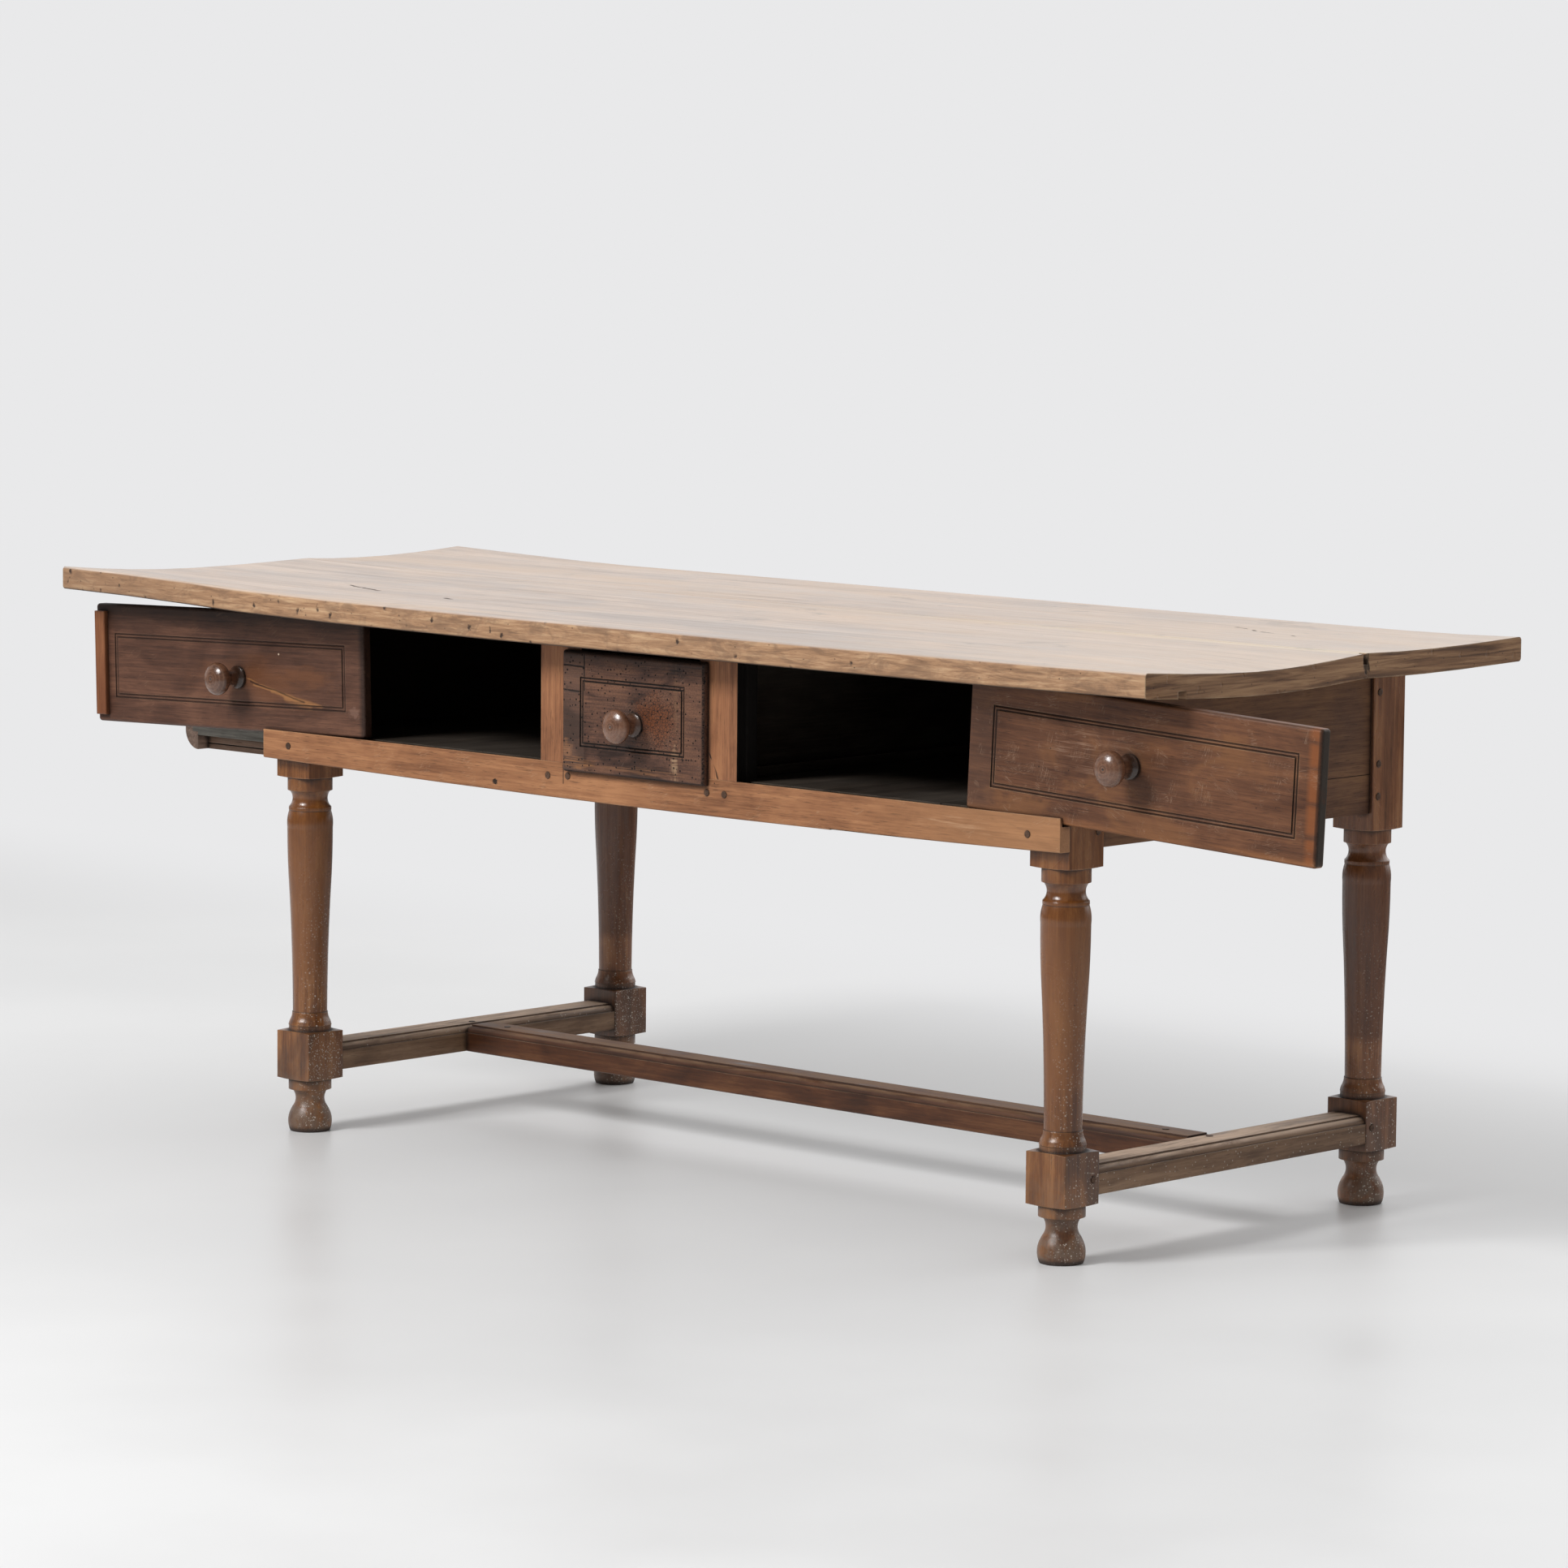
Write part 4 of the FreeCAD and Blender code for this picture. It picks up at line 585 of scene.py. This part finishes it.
def drawer_walnut():
    """The drawer front, the oldest-looking piece: walnut riddled by beetles, its varnish crazed
    beside the knob, with a strip let in at the left and corners worn to bare wood."""
    tree, wood = walnut("crazed_walnut_drawer", "X", "352118", "593B2D", "744F3A", (0.36, 0.60),
                        31.0, mottle=0.46, figure_mm=(160, 24), pores="1A100C")
    place = wood["place"]
    low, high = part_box("drawer_front")
    front = low.y * 1000
    lay(tree, wood, wood["cloud"], 0.50, 0.36, 0.6, "251610")
    # Varnish gone red and crazed beside the knob, in cells about 4.5 mm wide
    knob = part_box("drawer_knob")
    middle = (knob[0] + knob[1]) * 500
    heat = around(tree, (middle.x + 42, front, middle.z + 8), (52, 40, 46), 0.7)
    lay(tree, wood, heat, 1.0, 0.3, 0.75, "6A381A")
    cells = add(tree, "VectorMath", {0: place, 1: (1000 / 4.5,) * 3}, operation="MULTIPLY")
    stray = add(tree, "TexNoise", {"Vector": cells, "Scale": 0.7, "Detail": 2.0}, "Color")
    cells = add(tree, "VectorMath", {0: cells, 1: stray}, operation="ADD")
    craze = add(tree, "TexVoronoi", {"Vector": cells, "Scale": 1.0}, feature="DISTANCE_TO_EDGE")
    crazed = add(tree, "MapRange", {"Value": heat, "From Min": 1.3, "From Max": 0.5, "To Min": 0.25,
                                    "To Max": 0.85})
    lay(tree, wood, craze, 0.10, 0.03, crazed, "1B100B", -0.15)
    # The strip let in at the left
    across = add(tree, "SeparateXYZ", {0: place})
    lay(tree, wood, across, (STRIP_EDGE_MM + 0.5) / 1000, (STRIP_EDGE_MM - 0.5) / 1000, 0.35,
        "5A453A")
    cuts = (((STRIP_EDGE_MM, front, 760), (STRIP_EDGE_MM, front, 694)),
            ((-166, front, 727), (STRIP_EDGE_MM, front, 726)),
            ((-166, front, 692), (-122, front, 692)))
    for first, last in cuts:
        lay(tree, wood, along_line(tree, first, last, 0.8), 1.8, 0.7, 0.9, "150D09", -0.5, 0.8)
    # Bare, rubbed corners
    rubbed = (((-130, front, 592), (48, 40, 10), "9C6A42"),
              ((-150, front, 606), (16, 40, 22), "8A5F40"),
              ((58, front, 604), (9, 40, 30), "A08264"),
              ((60, front, 690), (5, 40, 60), "6E4E38"),
              ((0, front, 590), (110, 40, 6), "7C5539"))
    for spot, reach, tone in rubbed:
        worn = add(tree, "MapRange", {"Value": wood["fibre"], "From Min": 0.40, "From Max": 0.54,
                                      "To Max": 0.8})
        lay(tree, wood, around(tree, spot, reach, 0.9), 1.0, 0.3, worn, tone)
    mark(tree, wood, beetle_holes(tree, place, 6.0, 3.0, 0.5, 1.0), 0.95, "0B0604", -0.8, 0.9)
    mark(tree, wood, beetle_holes(tree, place, 12.0, 3.0, 0.35, 5.0), 0.9, "0F0805", -0.8, 0.9)
    mark(tree, wood, scratches(tree, place, 0.9, 30, 1.8, 8.0, 0.4), 0.35, "927463")
    up = across.node.outputs["Z"]
    # Painted shade: the top of the drawer front is darkened where the tabletop's overhang shades it
    lay(tree, wood, up, high.z - 20 * MILLIMETRE, high.z - 3 * MILLIMETRE, 0.6, "1A110D")
    field_line(tree, wood, low.y, "100906", 1.0)
    age(tree, wood, "0E0705", "8C6142", 0.85, 0.6)
    return close(tree, wood, 0.35)


def handled_knob(node):
    """A turned walnut knob, polished by hands, with the lathe's fine rings and centre mark."""
    tree, wood = walnut("handled_walnut_" + node, "Y", "4C3022", "644331", "7A5540", (0.16, 0.28),
                        41.0, figure_mm=(90, 16), mottle=0.4, pores="22150E", pore_share=0.3)
    low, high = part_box(node)
    gone = add(tree, "VectorMath", {0: wood["place"], 1: (low + high) / 2}, operation="SUBTRACT")
    flat = add(tree, "VectorMath", {0: gone, 1: (1000.0, 0.0, 1000.0)}, operation="MULTIPLY")
    out = add(tree, "VectorMath", {0: flat}, "Value", operation="LENGTH")
    deep = add(tree, "SeparateXYZ", {0: gone}).node.outputs["Y"]
    # Turned rings about 5 mm apart
    ring = add(tree, "Math", {0: out, 1: 1.25}, operation="MULTIPLY")
    ring = add(tree, "Math", {0: ring}, operation="SINE")
    face = add(tree, "MapRange", {"Value": deep, "From Min": -10 * MILLIMETRE,
                                  "From Max": -20 * MILLIMETRE, "To Max": 0.14})
    lay(tree, wood, ring, 0.2, 0.9, face, "94755F", 0.03)
    # The centre's mark and a fine line 4.5 mm from it
    lay(tree, wood, out, 2.2, 1.0, 0.9, "140C08", -0.4)
    line = add(tree, "Math", {0: out, 1: 4.5}, operation="SUBTRACT")
    line = add(tree, "Math", {0: line}, operation="ABSOLUTE")
    lay(tree, wood, line, 1.0, 0.3, 0.5, "3A281D", -0.1)
    # Dark round the neck
    lay(tree, wood, deep, -2 * MILLIMETRE, 12 * MILLIMETRE, 0.85, "20130C")
    mark(tree, wood, scratches(tree, wood["place"], 0.7, 14, 1.2, 5.0, 0.3), 0.18, "A08672")
    age(tree, wood, "140B07", "9A7858", 0.85, 0.4)
    return close(tree, wood, 0.55, 0.3)


def beech_lath():
    """The stop lath at the left door's end, beech in a newer, plain orange-brown stain."""
    tree, wood = walnut("stained_beech_lath", "Z", "653A20", "76462A", "875636", (0.45, 0.6), 44.0)
    age(tree, wood, "2A1A11", "A67C58", 0.7, 0.4)
    return close(tree, wood, 0.3)


def inside_pine(name, along, dark, middle, light, shift):
    """Inside boards, runners and partitions: pine left raw from the saw, dry and grey-brown; the
    pieces deep in the compartments are given near-black tones instead, as painted shade.
    """
    tree, wood = walnut(name, along, dark, middle, light, (0.72, 0.9), shift, figure_mm=(380, 22))
    dust = grain(tree, wood["place"], along, 260, 110, shift + 5, 3.0, 0.5, 0.4)
    lay(tree, wood, dust, 0.38, 0.75, 0.3, "6A625A")
    age(tree, wood, "1A1410", "7A6F63", 0.8, 0.4)
    return close(tree, wood, 0.2)


def kitchen_board(name, along, dark, middle, light, shift):
    """The pull-out board and its rails, walnut scoured grey-green by washing."""
    tree, wood = walnut(name, along, dark, middle, light, (0.5, 0.7), shift, figure_mm=(200, 9),
                        mottle=0.2)
    age(tree, wood, "1E1713", "98887C", 0.85, 0.5)
    return close(tree, wood, 0.35)


def oak_peg():
    """Riven oak pegs, their end grain darker than the wood round them."""
    tree, wood = walnut("dark_oak_peg", "Y", "38261B", "4C3627", "604636", (0.5, 0.65), 71.0,
                        figure_mm=(20, 4))
    age(tree, wood, "150D09", "7A5C45", 0.9, 0.3)
    return close(tree, wood, 0.3)


INSIDE_PINE = ("floor_board_left_1", "floor_board_left_2", "floor_board_left_3",
               "floor_board_right_1", "floor_board_right_2", "floor_board_right_3",
               "partition_left", "partition_right", "foot_strip_left", "foot_strip_right",
               "drawer_runner_left", "drawer_runner_right", "board_bearer")
INSIDE_PINE_LONG = ("back_ledger", "board_runner_front", "board_runner_back")
DRAWER_PINE = ("drawer_side_left", "drawer_side_right", "drawer_bottom")

# Each finish and the pieces that have it. The hex values are its dark, middle and light wood, and
# the last number moves its pattern, so that no two finishes have the same figure.
FINISHES = [
    (scrubbed_boards(), ("top_board_front", "top_board_back")),
    (rail_walnut(), ("front_rail",)),
    (post_walnut(), ("post_left", "post_right")),
    (apron_walnut("dull_walnut_end_apron", "Y", 9.0),
     ("end_apron_left", "end_apron_right_lower", "end_apron_right_upper")),
    (apron_walnut("dull_walnut_back_apron", "X", 19.0), ("back_apron",)),
    (turned_leg("turned_walnut_leg_front", "552F15", "744621", "8E5F36", "74461F", 2.0),
     ("leg_front_left", "leg_front_right")),
    # The rear legs' fourth tone is far darker than the front legs': painted shade on their turned
    # part
    (turned_leg("turned_walnut_leg_rear_shaded", "54331A", "77492A", "966640", "4A240A", 7.0),
     ("leg_back_left", "leg_back_right")),
    (stretcher_walnut("worn_walnut_long_stretcher", "X", "3A2114", "52301C", "6A442A", "80634C",
                      12.0), ("long_stretcher",)),
    (stretcher_walnut("worn_walnut_end_stretcher", "Y", "5C4431", "785C45", "8C7057", "C6AC96",
                      15.0, 0.8),
     ("end_stretcher_left", "end_stretcher_right")),
    (left_door_walnut(), ("door_left",)),
    (right_door_walnut(), ("door_right",)),
    (drawer_walnut(), ("drawer_front",)),
    (beech_lath(), ("door_lath_left",)),
    # Painted shade: the floors, partitions, strips and runners deep in the compartments are nearly
    # black
    (inside_pine("raw_pine_inside_shaded", "Y", "1E1712", "2C241D", "3B3229", 55.0), INSIDE_PINE),
    (inside_pine("raw_pine_inside_long", "X", "3C342B", "524739", "665A4B", 51.0),
     INSIDE_PINE_LONG),
    (inside_pine("raw_pine_drawer_box", "Y", "5B4A38", "75614A", "8C775D", 53.0), DRAWER_PINE),
    (inside_pine("raw_pine_drawer_back", "X", "5B4A38", "75614A", "8C775D", 54.0),
     ("drawer_back",)),
    (kitchen_board("scoured_walnut_board", "X", "5A564E", "737068", "8C887E", 58.0),
     ("pull_board",)),
    (kitchen_board("grey_walnut_cleat", "Y", "796456", "997F70", "B29785", 61.0),
     ("pull_board_cleat",)),
    (kitchen_board("grey_walnut_batten", "X", "5A4536", "765C4B", "8E735F", 65.0),
     ("pull_board_batten_front", "pull_board_batten_back")),
    (oak_peg(), ("rail_pegs", "apron_pegs", "stretcher_pegs", "top_dowels")),
]
for knob in ("drawer_knob", "door_knob_left", "door_knob_right"):
    FINISHES.append((handled_knob(knob), (knob,)))
for material, names in FINISHES:
    for name in names:
        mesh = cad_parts[name].data
        mesh.materials.clear()
        mesh.materials.append(material)
        for polygon in mesh.polygons:
            polygon.material_index = 0


def studio_floor():
    """A pale painted floor that fades into the backdrop with distance, so that no horizon shows."""
    mesh = bpy.data.meshes.new("studio_floor")
    rim = [(FLOOR_RADIUS * math.cos(a), FLOOR_RADIUS * math.sin(a), 0.0)
           for a in [i * math.tau / FLOOR_SIDES for i in range(FLOOR_SIDES)]]
    mesh.from_pydata(rim, [], [list(range(FLOOR_SIDES))])
    floor = bpy.data.objects.new("studio_floor", mesh)
    bpy.context.scene.collection.objects.link(floor)
    material, tree = start("painted_studio_floor")
    place = add(tree, "NewGeometry", out="Position")
    away = add(tree, "VectorMath", {0: place}, "Value", operation="LENGTH")
    cloudy = add(tree, "TexNoise", {"Vector": place, "Scale": 1.3, "Detail": 4.0})
    tone = add(tree, "ValToRGB", {0: cloudy}, stops=[(0.35, "E0E0E0"), (0.65, "E7E7E7")])
    rough = add(tree, "MapRange", {"Value": cloudy, "From Min": 0.35, "From Max": 0.65,
                                   "To Min": 0.30, "To Max": 0.45})
    paint = add(tree, "BsdfPrincipled", {"Base Color": tone, "Roughness": rough,
                                         "Specular IOR Level": 0.25})
    mirrored = add(tree, "LightPath", out="Is Glossy Ray")
    strength = add(tree, "MapRange", {"Value": mirrored, "To Min": 1.0, "To Max": DIM_SHARE})
    glow = add(tree, "Emission", {"Color": colour(BACKDROP_HEX), "Strength": strength})
    depth = add(tree, "SeparateXYZ", {0: place}).node.outputs["Y"]
    far = add(tree, "MapRange", {"Value": away, "From Min": FLOOR_FADE[0],
                                 "From Max": FLOOR_FADE[1]}, interpolation_type="SMOOTHSTEP")
    # Behind the table the backdrop's glow comes in sooner, painted light over the table's shadow
    rear = add(tree, "MapRange", {"Value": depth, "From Min": FLOOR_REAR_FADE[0],
                                  "From Max": FLOOR_REAR_FADE[1]},
               interpolation_type="SMOOTHSTEP")
    share = add(tree, "Math", {0: far, 1: rear}, operation="MAXIMUM")
    both = add(tree, "MixShader", {0: share, 1: paint, 2: glow})
    add(tree, "OutputMaterial", {"Surface": both})
    mesh.materials.append(material)


def studio_light():
    """A pale surround, lighter overhead, a large soft box high on the left of the drawer side, and
    a weaker one behind."""
    world = bpy.data.worlds.new("studio")
    bpy.context.scene.world = world
    world.use_nodes = True
    tree = world.node_tree
    tree.nodes.clear()
    camera_ray = add(tree, "LightPath", out="Is Camera Ray")
    rays = camera_ray.node.outputs
    seen = add(tree, "Math", {0: camera_ray, 1: rays["Is Transmission Ray"]}, operation="MAXIMUM")
    way = add(tree, "TexCoord", out="Generated")
    up = add(tree, "SeparateXYZ", {0: way}).node.outputs["Z"]
    strength = add(tree, "MapRange", {"Value": up, "To Min": SKY_LOW, "To Max": SKY_HIGH})
    lighting = add(tree, "Background", {"Color": colour("FFFFFF"), "Strength": strength})
    backdrop = add(tree, "Background", {"Color": colour(BACKDROP_HEX), "Strength": 1.0})
    behind = (-math.sin(CAMERA_YAW), math.cos(CAMERA_YAW), 0.0)
    rearward = add(tree, "VectorMath", {0: way, 1: behind}, "Value", operation="DOT_PRODUCT")
    shine = add(tree, "MapRange", {"Value": rearward, "From Min": 0.1, "From Max": 0.7,
                                   "To Min": DIM_SHARE, "To Max": 1.0})
    mirrored = add(tree, "Background", {"Color": colour(BACKDROP_HEX), "Strength": shine})
    both = add(tree, "MixShader", {0: rays["Is Glossy Ray"], 1: lighting, 2: mirrored})
    both = add(tree, "MixShader", {0: seen, 1: both, 2: backdrop})
    add(tree, "OutputWorld", {"Surface": both})
    towards = Vector(KEY_TOWARDS).normalized()
    boxes = (("front_soft_box", Vector(KEY_AIM) - towards * KEY_AWAY, towards, KEY_SIZE, KEY_WATTS),
             ("rear_soft_box", Vector(BACK_AT), Vector(BACK_AIM) - Vector(BACK_AT), BACK_SIZE,
              BACK_WATTS))
    for name, at, aim, size, watts in boxes:
        lamp = bpy.data.lights.new(name, "AREA")
        lamp.shape = "SQUARE"
        lamp.size = size
        lamp.energy = watts
        box = bpy.data.objects.new(name, lamp)
        box.location = at
        box.rotation_euler = aim.to_track_quat("-Z", "Y").to_euler()
        bpy.context.scene.collection.objects.link(box)


def camera():
    """The camera at the photograph's place and angle."""
    ahead = Vector((-math.sin(CAMERA_YAW) * math.cos(CAMERA_PITCH),
                    math.cos(CAMERA_YAW) * math.cos(CAMERA_PITCH), -math.sin(CAMERA_PITCH)))
    level = Vector((math.cos(CAMERA_YAW), math.sin(CAMERA_YAW), 0.0))
    up = level.cross(ahead)
    right = math.cos(CAMERA_ROLL) * level + math.sin(CAMERA_ROLL) * up
    upright = math.cos(CAMERA_ROLL) * up - math.sin(CAMERA_ROLL) * level
    turn = Matrix((right, upright, -ahead)).transposed().to_4x4()
    lens = bpy.data.cameras.new("camera")
    lens.sensor_width = SENSOR_MM
    lens.lens = FOCAL_PX / PHOTO_WIDE_PX * SENSOR_MM
    lens.clip_end = CAMERA_SEES_TO
    eye = bpy.data.objects.new("camera", lens)
    eye.matrix_world = Matrix.Translation(CAMERA_AT) @ turn
    bpy.context.scene.collection.objects.link(eye)
    bpy.context.scene.camera = eye


studio_floor()
studio_light()
camera()
bpy.context.scene.view_settings.view_transform = "Standard"
